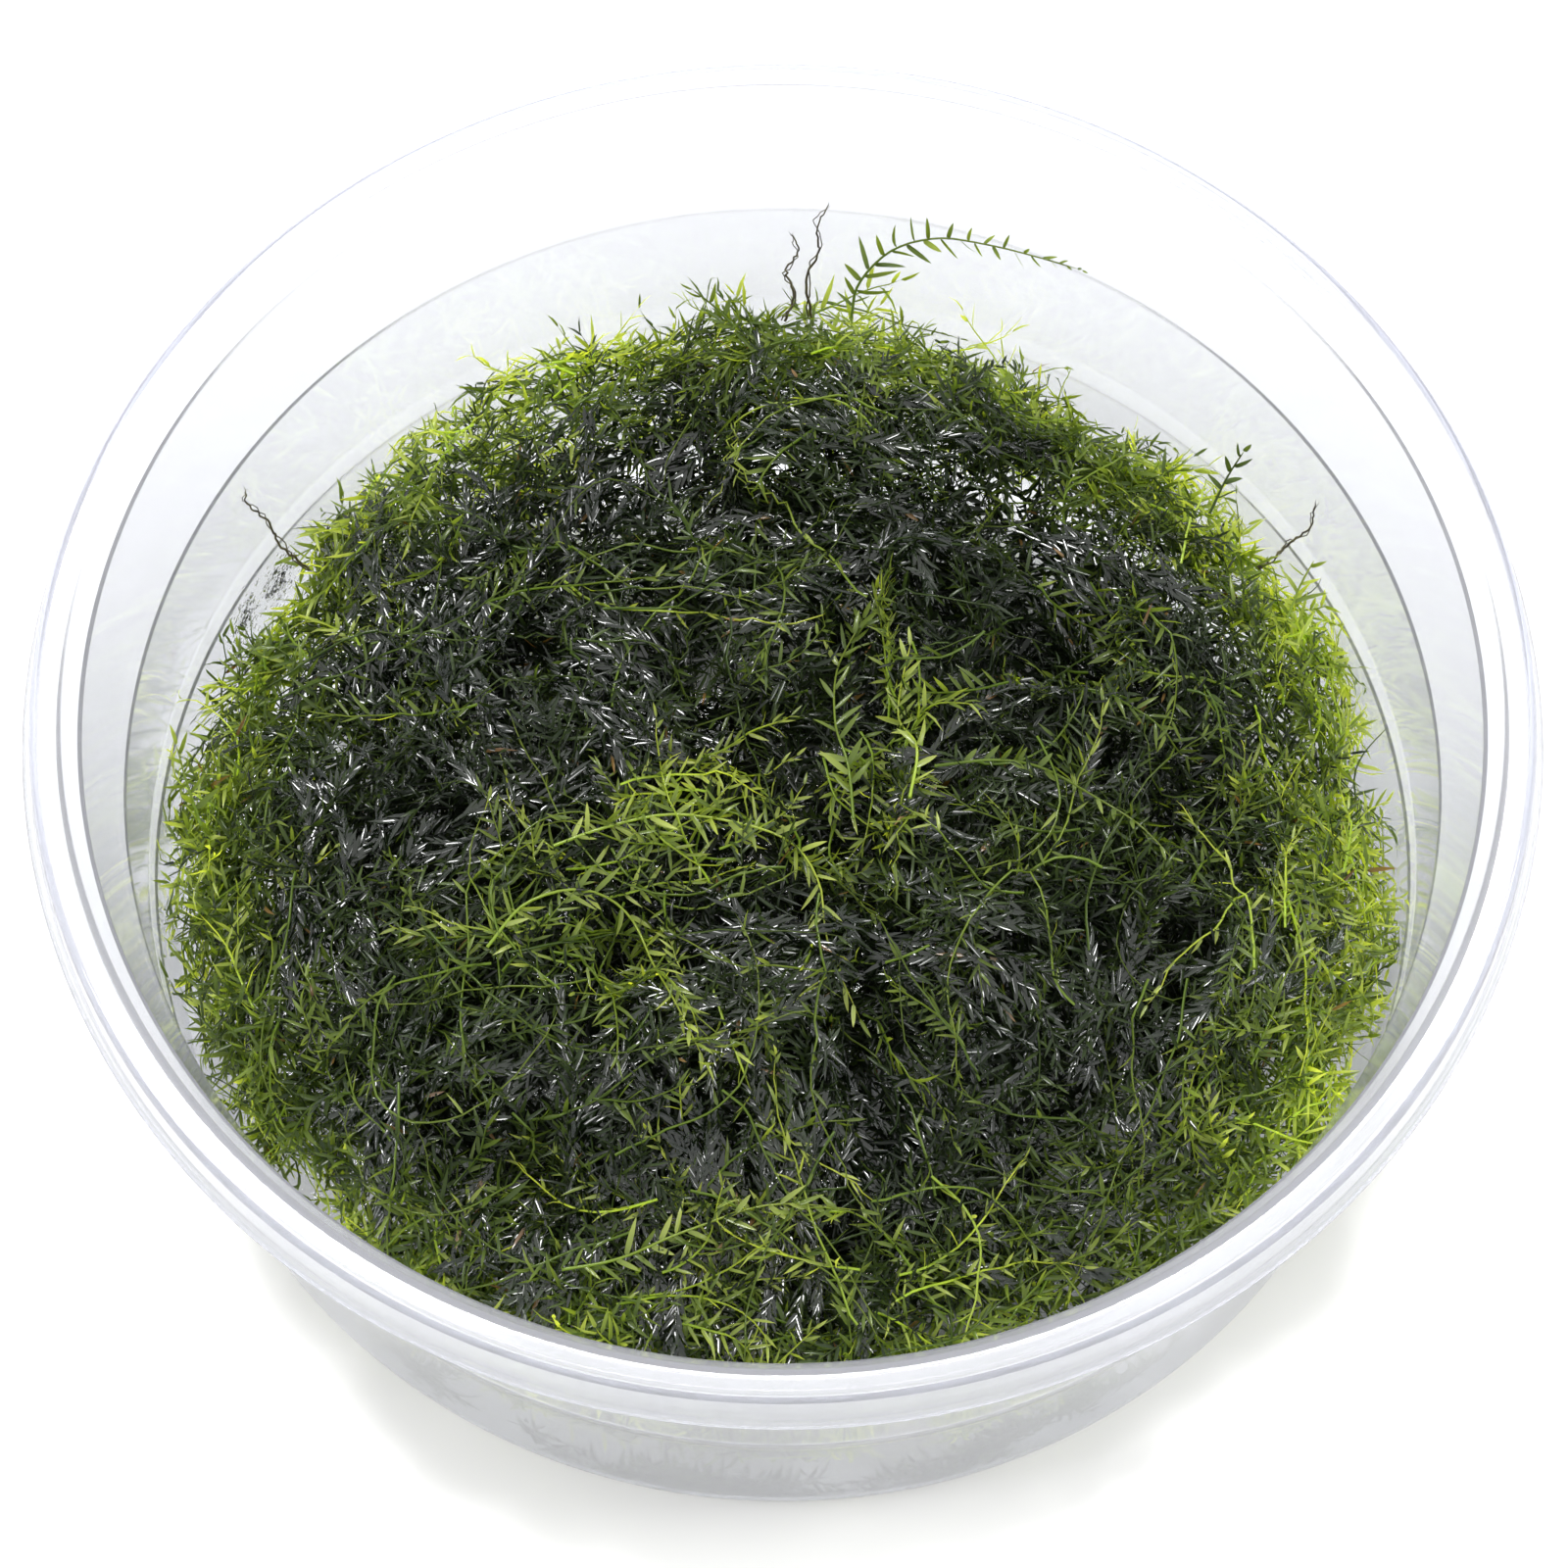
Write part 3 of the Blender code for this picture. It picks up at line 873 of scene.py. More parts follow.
@dataclass
class Grower:
    """Grows batches of shoots as paths that follow the cushion's surface at their own depth.

    Attributes:
        shade_tone: how much the tone varies from place to place.
        pit_painted_shade: painted shade: how much darker the tone is in a pit.
    """

    cushion: Cushion
    rng: np.random.Generator
    shade_tone: float = 0.12
    pit_painted_shade: float = 0.16

    def __post_init__(self) -> None:
        """Make the noises that give the moss its local lie and shade."""
        self.lie = Lattice(16.0 * MM, 21)
        self.shade = Lattice(9.0 * MM, 34)
        self.gaps = Lattice(5.0 * MM, 61)

    def at_top(self, x: Array, y: Array) -> Array:
        """Return places on the top."""
        return np.stack([x, y, self.cushion.top(x, y)], axis=-1)

    def starts_on_top(self, count: int, ring: Pair, gappy: bool) -> Array:
        """Return places spread evenly over the top between two rings; where gappy, fewer in pits and gaps."""
        share = self.rng.uniform(ring[0] ** 2, ring[1] ** 2, count)
        reach = self.cushion.radius * np.sqrt(share)
        angle = self.rng.uniform(-math.pi, math.pi, count)
        thin = np.exp(-((angle - self.cushion.thin_angle) / 0.30) ** 2)
        thin = thin * smoothstep(0.80, 0.92, reach / self.cushion.radius)
        x, y = reach * np.cos(angle), reach * np.sin(angle)
        if not gappy:
            return self.at_top(x, y)
        bare = np.maximum(0.75 * thin, 0.55 * self.cushion.pit(x, y))
        gap = smoothstep(0.10, 0.60, self.gaps(x, y))
        gap = gap * smoothstep(0.80, 0.90, reach / self.cushion.radius)
        kept = self.rng.uniform(size=count) > np.maximum(bare, 0.75 * gap)
        return self.at_top(x[kept], y[kept])

    def starts_on_side(self, count: int, low: float, high: float) -> Array:
        """Return places spread over the side between two heights."""
        angle = self.rng.uniform(-math.pi, math.pi, count)
        z = self.rng.uniform(low, high, count)
        reach = self.cushion.radius - 1.0 * MM
        return np.stack([reach * np.cos(angle), reach * np.sin(angle), z], axis=-1)

    def starts_at_foot(self, count: int) -> Array:
        """Return places spread over the underside."""
        reach = (self.cushion.radius - self.cushion.undercut) * np.sqrt(self.rng.uniform(0.0, 1.0, count))
        angle = self.rng.uniform(-math.pi, math.pi, count)
        z = np.full(count, self.cushion.foot)
        return np.stack([reach * np.cos(angle), reach * np.sin(angle), z], axis=-1)

    def grow(self, starts: Array, plan: Growth, angle: Array | None = None) -> Shoots:
        """Grow one shoot from each start.

        Each step goes along the heading, laid into the surface that has the shoot's depth, with a pull
        back to that depth; the depth falls with the square of the way along, so tips stand out.

        Args:
            starts: the places on the cushion near which the shoots start.
            plan: how they grow.
            angle: their first headings on plan; the local lie of the moss where not given.

        Returns:
            The shoots.
        """
        rng, cushion, near = self.rng, self.cushion, plan.side_share
        count = len(starts)
        depth = rng.uniform(*plan.depth, count)
        p = cushion.settle(starts, depth, near)
        if angle is None:
            angle = math.pi * 1.2 * self.lie(p[:, 0], p[:, 1]) + math.pi * rng.integers(0, 2, count)
        angle = angle + rng.normal(0, plan.stray, count)
        curl = rng.normal(0, plan.curl / MM, count)
        length = rng.uniform(*plan.length, count)
        step = length / (plan.points - 1)
        path, facing = [p], [cushion.outward(p, near)]
        for k in range(1, plan.points):
            share = k / (plan.points - 1)
            angle = angle + curl * step + rng.normal(0, 0.12, count)
            out = cushion.outward(p, near)
            heading = np.stack([np.cos(angle), np.sin(angle), np.zeros(count)], axis=-1)
            level = square_on(heading, out)
            wanted = depth - plan.lift * share ** 2
            pull = np.clip((cushion.depth(p, near) - wanted) / step, -0.8, 0.8)[:, None]
            heading = unit(level + out * (pull + plan.rise * share))
            p = cushion.held(p + heading * step[:, None], cushion.margin)
            path.append(p)
            facing.append(out)
        way = np.stack(path, axis=1)
        face = np.stack(facing, axis=1)
        along = unit(np.gradient(way, axis=1))
        face = square_on(face, along)
        roll = np.radians(rng.normal(0, plan.turned, count))[:, None, None]
        face = face * np.cos(roll) + np.cross(along, face) * np.sin(roll)
        middle = way[:, plan.points // 2]
        tone = plan.tone[0] + plan.tone[1] * rng.normal(0, 1, count)
        tone = tone + self.shade_tone * self.shade(middle[:, 0], middle[:, 1])
        # Painted backlight: shoots near the cushion's edge get a paler tone.
        tone = tone + plan.sunlit * smoothstep(0.76, 0.97, cushion.ring(middle))
        # Painted shade: shoots in a pit get a darker tone.
        tone = tone - self.pit_painted_shade * cushion.pit(middle[:, 0], middle[:, 1])
        return Shoots(way, face, np.clip(tone, 0.03, 0.88), rng.uniform(0.80, 1.15, count))


# ---------------------------------------------------------------- the moss

class Zone(Enum):
    """Where a layer's shoots start."""

    TOP = "top"
    SIDE = "side"
    FOOT = "foot"
    WADS = "wads"
    TUFTS = "tufts"


@dataclass(frozen=True)
class Layer:
    """One kind of shoot in the mat: where it starts, how it grows, what its leaves are like.

    Attributes:
        ring: the nearest and farthest start from the middle, as shares of the cushion's radius.
        gappy: whether fewer shoots start in pits, in gaps at the edge and at the thin place.
    """

    name: str
    zone: Zone
    count: int
    plan: Growth
    style: ShootStyle
    finish: str
    ring: Pair = (0.0, 0.985)
    gappy: bool = True


DEEP = ShootStyle(leaf=KITE, leaf_length=2.7 * MM, leaf_width=0.54 * MM, spacing=0.62 * MM, spread=48.0,
                  roll=45.0, lift=18.0, bend=0.10, missing=0.08)
FINE = ShootStyle(leaf=LANCE, leaf_length=2.0 * MM, leaf_width=0.28 * MM, spacing=0.50 * MM, spread=46.0,
                  spread_jitter=10.0, roll=28.0, lift=12.0, bend=0.20, missing=0.14, stem_radius=0.075 * MM)
PRESSED = ShootStyle(leaf=LANCE, leaf_length=2.2 * MM, leaf_width=0.40 * MM, spacing=0.30 * MM, spread=22.0,
                     spread_jitter=8.0, roll=13.0, lift=5.0, bend=0.20, missing=0.05, stem_radius=0.08 * MM)
OPEN = ShootStyle(leaf=LANCE, leaf_length=2.5 * MM, leaf_width=0.33 * MM, spacing=0.52 * MM, spread=50.0,
                  spread_jitter=9.0, roll=24.0, lift=12.0, bend=0.32, missing=0.20, stem_radius=0.10 * MM)
LACY = ShootStyle(leaf=LANCE, leaf_length=2.9 * MM, leaf_width=0.41 * MM, spacing=0.70 * MM, spread=50.0,
                  spread_jitter=11.0, roll=30.0, lift=15.0, bend=0.34, missing=0.24, stem_radius=0.12 * MM)
YOUNG = ShootStyle(leaf=LANCE, leaf_length=2.5 * MM, leaf_width=0.37 * MM, spacing=0.66 * MM, spread=48.0,
                   spread_jitter=10.0, roll=26.0, lift=13.0, bend=0.32, missing=0.22, stem_radius=0.13 * MM)
STRAND = ShootStyle(leaf=LANCE, leaf_length=2.2 * MM, leaf_width=0.34 * MM, spacing=1.10 * MM, spread=42.0,
                    spread_jitter=16.0, roll=40.0, lift=16.0, bend=0.24, missing=0.60, stem_radius=0.13 * MM)
BARE = ShootStyle(leaf=KITE, leaf_length=0.9 * MM, leaf_width=0.22 * MM, spacing=1.4 * MM, spread=30.0,
                  missing=0.85, stem_radius=0.10 * MM)
PRESSED_ON_WALL = replace(LACY, leaf_width=0.60 * MM, spacing=0.45 * MM, lift=4.0, roll=12.0,
                          stem_radius=0.09 * MM)

# Each wad: place on plan (mm), spread (mm) and heading (degrees).
WADS = (
    (-21, 24, 3.4, 70), (-28.5, 9, 3.8, 110), (0, 22, 3.6, 20), (12.5, -13.5, 3.4, -15),
    (-1.5, -16, 3.4, 10), (-18, -31.5, 3.6, 60), (-3, -34, 4.0, 95), (37, -12.5, 2.6, 40),
    (14, 1, 2.8, 30), (-33, 22, 2.8, 120), (-13, 9, 3.0, -40), (8, 33, 3.2, 150), (-8, 34, 2.8, 60),
    (25, 21, 3.0, -35), (27, -18, 2.8, 75), (-36, -8, 3.0, 80), (-30, -22, 2.8, 40),
    (18, -32, 3.0, -20), (5, -25, 2.6, 130), (-24, -3, 2.4, 20),
)

# Each tuft of young shoots: place on plan (mm), spread (mm), heading (degrees), share of the layer, tone.
TUFTS = (
    (-14, -4, 4.5, 10, 9, 0.80), (-9, -9, 4.5, -50, 8, 0.74), (1, -6, 4.0, -70, 6, 0.76),
    (8, 5, 3.2, 80, 8, 0.78), (-5, 8, 4.0, 30, 3, 0.64), (38, -12, 3.6, -60, 8, 0.74),
    (33, -26, 3.6, 50, 4, 0.76), (22, 23, 5.0, -45, 8, 0.70), (30, 12, 5.0, -30, 6, 0.66),
    (-10, -40, 4.2, 30, 10, 0.80), (8, -41, 4.2, 0, 5, 0.76), (5, -20, 4.5, -70, 6, 0.72),
    (-26, 30, 5.5, 60, 6, 0.70), (-36, 16, 5.0, 80, 8, 0.74), (-38, -14, 5.0, -80, 5, 0.66),
    (-20, -14, 4.0, 200, 5, 0.70), (14, 40, 4.0, 20, 5, 0.72), (-2, 42, 5.0, 170, 4, 0.70),
    (40, 12, 4.0, 80, 7, 0.78), (22, -36, 4.0, 10, 4, 0.68), (-30, -30, 4.0, -40, 3, 0.62),
    (26, 0, 5.0, -10, 4, 0.64), (-8, -26, 5.0, 10, 4, 0.66), (14, 10, 4.0, 60, 4, 0.68),
)

# Besides the moss's own colour, the layers' tones hold painted light: the deep layer's dark tone is painted
# shade of the mat's depth, and the pale tones of the edge, side and fringe layers are painted backlight.
LAYERS = (
    Layer("deep", Zone.TOP, 1520,
          Growth((9 * MM, 17 * MM), (3.2 * MM, 9.0 * MM), 0.8 * MM, 1.0, 0.05, 50.0, (0.09, 0.06),
                 sunlit=0.20, points=7, side_share=0.50),
          DEEP, "damp", (0.0, 0.90), gappy=False),
    Layer("fine", Zone.TOP, 1000,
          Growth((6 * MM, 13 * MM), (0.9 * MM, 3.6 * MM), 1.4 * MM, 0.9, 0.07, 45.0, (0.23, 0.12),
                 points=8, side_share=0.58),
          FINE, "damp", (0.0, 0.95)),
    Layer("wads", Zone.WADS, 520,
          Growth((6 * MM, 12 * MM), (0.0 * MM, 1.3 * MM), 0.1 * MM, 0.24, 0.05, 7.0, (0.09, 0.05),
                 sunlit=0.1, points=9),
          PRESSED, "wet"),
    Layer("open", Zone.TOP, 760,
          Growth((6 * MM, 17 * MM), (0.3 * MM, 2.4 * MM), 2.2 * MM, 0.8, 0.07, 35.0, (0.36, 0.15),
                 points=10, side_share=0.72),
          OPEN, "damp", (0.0, 0.97)),
    Layer("edge", Zone.TOP, 840,
          Growth((6 * MM, 15 * MM), (0.1 * MM, 4.6 * MM), 1.4 * MM, 1.3, 0.08, 40.0, (0.57, 0.10),
                 points=9),
          LACY, "sunlit", (0.84, 0.995)),
    Layer("side", Zone.SIDE, 360,
          Growth((6 * MM, 14 * MM), (0.2 * MM, 3.0 * MM), 0.6 * MM, 1.3, 0.06, 40.0, (0.54, 0.12),
                 points=8),
          LACY, "sunlit"),
    Layer("foot", Zone.FOOT, 330,
          Growth((9 * MM, 18 * MM), (0.3 * MM, 2.0 * MM), 0.2 * MM, 1.2, 0.05, 30.0, (0.36, 0.10),
                 points=7),
          DEEP, "damp"),
    Layer("young", Zone.TUFTS, 165,
          Growth((7 * MM, 17 * MM), (-0.5 * MM, 1.0 * MM), 0.8 * MM, 0.7, 0.06, 30.0, (0.0, 0.07),
                 sunlit=0.05, points=12),
          YOUNG, "sunlit"),
    Layer("fringe", Zone.TOP, 230,
          Growth((4 * MM, 10 * MM), (0.0 * MM, 2.5 * MM), 4.2 * MM, 1.5, 0.12, 40.0, (0.52, 0.12),
                 points=9, rise=0.7),
          LACY, "sunlit", (0.90, 1.0)),
    Layer("strands", Zone.TOP, 150,
          Growth((14 * MM, 32 * MM), (-0.9 * MM, 0.5 * MM), 0.4 * MM, 0.6, 0.06, 40.0, (0.66, 0.09),
                 sunlit=0.1, points=24),
          STRAND, "damp", (0.0, 0.95)),
    Layer("hairs", Zone.TOP, 70,
          Growth((4 * MM, 8 * MM), (0.2 * MM, 2.0 * MM), 4.6 * MM, 1.5, 0.14, 40.0, (0.34, 0.10),
                 points=10, rise=0.9),
          BARE, "damp", (0.88, 1.0)),
)


@dataclass
class MossMat:
    """The tangle itself, made in layers that together stand for the solid mat."""

    cushion: Cushion
    grower: Grower
    node: str = "moss_mat"
    leaf_margin: float = 0.12 * MM
    over_edge: float = 4.0 * MM
    tuft_tones: Pair = (0.3, 0.88)

    def shoots_of(self, layer: Layer) -> Shoots:
        """Return a layer's shoots, grown from their zone."""
        grower, rng, plan = self.grower, self.grower.rng, layer.plan
        if layer.zone is Zone.TOP:
            return grower.grow(grower.starts_on_top(layer.count, layer.ring, layer.gappy), plan)
        if layer.zone is Zone.SIDE:
            starts = grower.starts_on_side(layer.count, self.cushion.foot, self.cushion.edge + self.over_edge)
            return grower.grow(starts, plan)
        if layer.zone is Zone.FOOT:
            return grower.grow(grower.starts_at_foot(layer.count), plan)
        tufted = layer.zone is Zone.TUFTS
        spots = np.array(TUFTS if tufted else WADS, dtype=float)
        share = spots[:, 4] if tufted else spots[:, 2] ** 2
        which = rng.choice(len(spots), layer.count, p=share / share.sum())
        place = (spots[which, :2] + rng.normal(0, 1.0, (layer.count, 2)) * spots[which, 2:3]) * MM
        reach = np.hypot(place[:, 0], place[:, 1])
        place = place * np.minimum(1.0, 0.97 * self.cushion.radius / reach)[:, None]
        angle = np.radians(spots[which, 3]) + math.pi * rng.integers(0, 2, layer.count)
        shoots = grower.grow(grower.at_top(place[:, 0], place[:, 1]), plan, angle)
        if tufted:
            shoots.tone = np.clip(shoots.tone + spots[which, 5], *self.tuft_tones)
        return shoots

    def surface_of(self, shoots: Shoots, style: ShootStyle) -> Surface:
        """Return the stems and leaves of some shoots, held inside the cup."""
        surface = Surface()
        add_stems(surface, shoots, style.stem_radius)
        add_leaves(surface, shoots, style, self.grower.rng)
        surface.vertices = [self.cushion.held(part, self.leaf_margin) for part in surface.vertices]
        return surface

    def build(self, finishes: dict[str, Material]) -> None:
        """Make one piece for each layer."""
        for layer in LAYERS:
            surface = self.surface_of(self.shoots_of(layer), layer.style)
            make_piece(f"moss_{layer.name}", surface, finishes[layer.finish], (self.node,))


def smooth_path(points: Array, count: int) -> Array:
    """Return count points on the Catmull-Rom curve through points."""
    knots = np.vstack([2 * points[0] - points[1], points, 2 * points[-1] - points[-2]])
    along = np.linspace(0, len(points) - 1, count)
    first = np.minimum(along.astype(int), len(points) - 2)
    t = (along - first)[:, None]
    p0, p1, p2, p3 = (knots[first + k] for k in range(4))
    return 0.5 * (2 * p1 + (p2 - p0) * t + (2 * p0 - 5 * p1 + 4 * p2 - p3) * t ** 2
                  + (3 * p1 - p0 - 3 * p2 + p3) * t ** 3)


@dataclass(frozen=True)
class Loose:
    """One shoot with a node of its own: its name, its points in mm, and what grows on it.

    Points of two numbers are places on plan, and the shoot lies on the moss there.
    """

    node: str
    points: tuple[tuple[float, ...], ...]
    tone: float = 0.80
    leaf: float = 2.8 * MM
    taper: float = 0.3
    spread: float = 48.0
    spacing: float = 0.80 * MM
    missing: float = 0.18
    bare: bool = False
    facing: Place = (0.0, -0.35, 1.0)


LOOSE_SHOOTS = (
    Loose("top_shoot_1", ((-18, -5), (-14, -3.5), (-9, -2.5), (-4, -3.2), (0.5, -5), (2.8, -9), (3.5, -14),
                          (6, -19)), tone=0.84, missing=0.24),
    Loose("top_shoot_2", ((-23, -14), (-20, -10.5), (-15.5, -9), (-12, -10.5), (-10, -15), (-8, -19.5),
                          (-6, -24)), tone=0.82, spacing=0.95 * MM, missing=0.28),
    Loose("top_shoot_3", ((5.6, -2), (5.2, 2.5), (4.2, 6.5), (4.4, 12), (6.5, 17)), tone=0.76),
    Loose("top_shoot_4", ((10, -1.5), (10.6, 3), (9.2, 7), (10.2, 12)), tone=0.86, leaf=2.4 * MM),
    Loose("top_shoot_5", ((12, 1.5), (17, 2.2), (22, 1.4), (27, -1.5), (31, -6)), tone=0.72, leaf=1.7 * MM,
          missing=0.40),
    Loose("top_shoot_6", ((-17, -38.5), (-12, -37.5), (-7, -35.5), (-1, -33.5), (6, -34)), tone=0.80,
          missing=0.26),
    Loose("arching_shoot", ((5.7, 45.0, 25.8), (6.3, 46.6, 28.5), (8.9, 47.6, 32.0), (12.6, 47.2, 34.6),
                            (16.6, 45.6, 36.2), (20.6, 44.0, 36.9), (24.4, 42.6, 37.0)),
          tone=0.68, leaf=2.9 * MM, taper=0.86, spread=58.0, spacing=0.78 * MM, missing=0.04,
          facing=(0.0, -1.0, 0.6)),
    Loose("back_tuft", ((-3.9, 43.8, 26.2), (-5.6, 44.7, 28.0), (-7.4, 45.4, 29.6)), tone=0.66, leaf=2.2 * MM,
          facing=(0.0, -1.0, 0.5)),
    Loose("right_tuft", ((35.0, 28.0, 22.9), (36.3, 30.0, 25.2), (37.6, 31.2, 27.6)), tone=0.52,
          leaf=2.2 * MM, facing=(0.0, -1.0, 0.5)),
    Loose("left_wall_shoot", ((-46.6, 0.5, 21.0), (-47.6, 3.0, 23.2), (-48.4, 5.4, 25.6)), tone=0.76,
          leaf=2.4 * MM, facing=(1.0, -0.4, 0.6)),
    Loose("right_wall_shoot", ((41.2, 19.4, 20.9), (42.2, 21.4, 22.8), (43.2, 22.6, 24.8)), tone=0.80,
          leaf=2.6 * MM, facing=(-0.6, -0.8, 0.6)),
    Loose("back_stem_short", ((0.2, 45.4, 24.6), (0.9, 46.5, 27.0), (0.3, 47.6, 29.0), (1.3, 48.2, 31.0),
                              (0.6, 48.9, 33.0)), bare=True),
    Loose("back_stem_tall", ((2.4, 46.0, 24.2), (2.0, 47.4, 28.0), (3.0, 48.2, 31.0), (2.8, 48.8, 34.0),
                             (3.8, 49.2, 37.0)), bare=True),
    Loose("left_stem", ((-38.6, 24.0, 20.6), (-40.8, 24.6, 23.4), (-41.8, 25.6, 26.0), (-43.2, 25.6, 28.6),
                        (-43.4, 26.2, 30.6)), bare=True),
    Loose("right_stem", ((39.2, 24.8, 19.4), (41.4, 25.8, 21.6), (43.0, 25.9, 24.6), (43.3, 26.6, 27.8)),
          bare=True),
)


@dataclass
class LooseShoots:
    """The single shoots and bare stems, each in place of its own solid."""

    cushion: Cushion
    rng: np.random.Generator
    rest: float = 0.7 * MM
    points: int = 28
    stem_radius: float = 0.13 * MM
    bare_radius: float = 0.13 * MM
    margin: float = 0.15 * MM
    smoothing: int = 7
    kink: float = 0.07 * MM
    wind: float = 0.28 * MM
    wind_turns: float = 2.5

    def path(self, loose: Loose) -> Array:
        """Return a shoot's path in metres, laid on the moss where its points give no height."""
        points = np.array(loose.points, dtype=float) * MM
        if points.shape[1] == 2:
            points = np.column_stack([points, np.zeros(len(points))])
            path = smooth_path(points, self.points)
            path[:, 2] = self.cushion.top(path[:, 0], path[:, 1]) + self.rest
            padded = np.pad(path[:, 2], self.smoothing // 2, mode="edge")
            path[:, 2] = np.convolve(padded, np.ones(self.smoothing) / self.smoothing, mode="valid")
            return path
        return smooth_path(points, self.points)

    def leafy(self, loose: Loose) -> Surface:
        """Return a leafy shoot."""
        path = self.path(loose)[None]
        facing = np.broadcast_to(np.array(loose.facing), path.shape)
        shoots = Shoots(path, facing, np.array([loose.tone]), np.ones(1))
        style = ShootStyle(leaf=BLADE, leaf_length=loose.leaf, leaf_width=0.45 * MM, spacing=loose.spacing,
                           spread=loose.spread, spread_jitter=11.0, roll=30.0, lift=14.0, bend=0.18,
                           stem_radius=self.stem_radius, missing=loose.missing, taper=loose.taper)
        surface = Surface()
        add_stems(surface, shoots, style.stem_radius, sides=6)
        add_leaves(surface, shoots, style, self.rng)
        return surface

    def bare(self, loose: Loose) -> Surface:
        """Return a bare stem: a wiry tube with small kinks and a thinner strand wound loosely round it."""
        path = self.path(loose)
        kink = self.rng.normal(0, self.kink, path.shape)
        kink[0] = 0.0
        along = unit(np.gradient(path, axis=0))
        aside = unit(np.cross(along, np.array([0.3, 1.0, 0.1])))
        turn = np.linspace(0, self.wind_turns * TURN, self.points)[:, None]
        wound = path + self.wind * (aside * np.cos(turn) + np.cross(along, aside) * np.sin(turn))
        surface = Surface()
        for line, radius in ((path + kink, self.bare_radius), (wound - kink, 0.55 * self.bare_radius)):
            facing = np.broadcast_to(aside, line.shape)
            shoots = Shoots(line[None], facing[None], np.array([0.96]), np.ones(1))
            add_stems(surface, shoots, radius, sides=6)
        return surface

    def build(self, leaf: Material, stem: Material) -> None:
        """Make every loose shoot and bare stem."""
        for loose in LOOSE_SHOOTS:
            surface = self.bare(loose) if loose.bare else self.leafy(loose)
            surface.vertices = [self.cushion.held(part, self.margin) for part in surface.vertices]
            ending, material, slot = ("wire", stem, Slot.STEM) if loose.bare else ("leafy", leaf, Slot.SHOOT)
            make_piece(f"{loose.node}_{ending}", surface, material, (loose.node,))


# ---------------------------------------------------------------- what clings to the cup's wall

@dataclass
class Scraps:
    """Bits of moss that touch the wall in front, low down. They belong to the mat.

    Attributes:
        places: each scrap's bearing in degrees and height in mm, and how many shoots it has.
    """

    cushion: Cushion
    rng: np.random.Generator
    places: tuple[tuple[float, float, int], ...] = (
        (-99.0, 6.0, 16), (-94.0, 5.0, 22), (-103.0, 4.0, 8), (-78.0, 4.5, 14), (-72.0, 8.0, 16),
        (-66.0, 10.0, 14), (-124.0, 8.5, 14), (-132.0, 9.0, 8), (-58.0, 9.0, 8), (-84.0, 2.5, 5),
        (-113.0, 6.0, 4),
    )
    length: Pair = (2.5 * MM, 6.5 * MM)
    gap: float = 0.22 * MM
    margin: float = 0.12 * MM
    points: int = 8

    def build(self, material: Material) -> None:
        """Lay short shoots on the wall: from bearing b and height h, by (s cos t / r, s sin t)."""
        bearing, height, number = (np.array(column) for column in zip(*self.places))
        which = np.repeat(np.arange(len(number)), number.astype(int))
        count = len(which)
        b = np.radians(bearing[which] + self.rng.normal(0, 2.0, count))
        h = (height[which] + self.rng.normal(0, 0.8, count)) * MM
        turn = self.rng.uniform(-0.7, 0.7, count) + math.pi * self.rng.integers(0, 2, count)
        bend = self.rng.normal(0, 0.25, count)
        s = self.rng.uniform(*self.length, count)[:, None] * np.linspace(0, 1, self.points)
        heading = turn[:, None] + bend[:, None] * np.linspace(0, 3, self.points)
        z = np.clip(h[:, None] + s * np.sin(heading), 1.2 * MM, 14 * MM)
        radius = self.cushion.cup.inner_radius(z) - self.gap
        angle = b[:, None] + s * np.cos(heading) / radius
        path = np.stack([radius * np.cos(angle), radius * np.sin(angle), z], axis=-1)
        facing = np.stack([np.cos(angle), np.sin(angle), np.zeros_like(z)], axis=-1)
        shoots = Shoots(path, facing, self.rng.uniform(0.25, 0.62, count), np.full(count, 0.85))
        surface = Surface()
        add_stems(surface, shoots, PRESSED_ON_WALL.stem_radius)
        add_leaves(surface, shoots, PRESSED_ON_WALL, self.rng)
        surface.vertices = [self.cushion.held(part, self.margin) for part in surface.vertices]
        make_piece("wall_scraps", surface, material, ("moss_mat",))


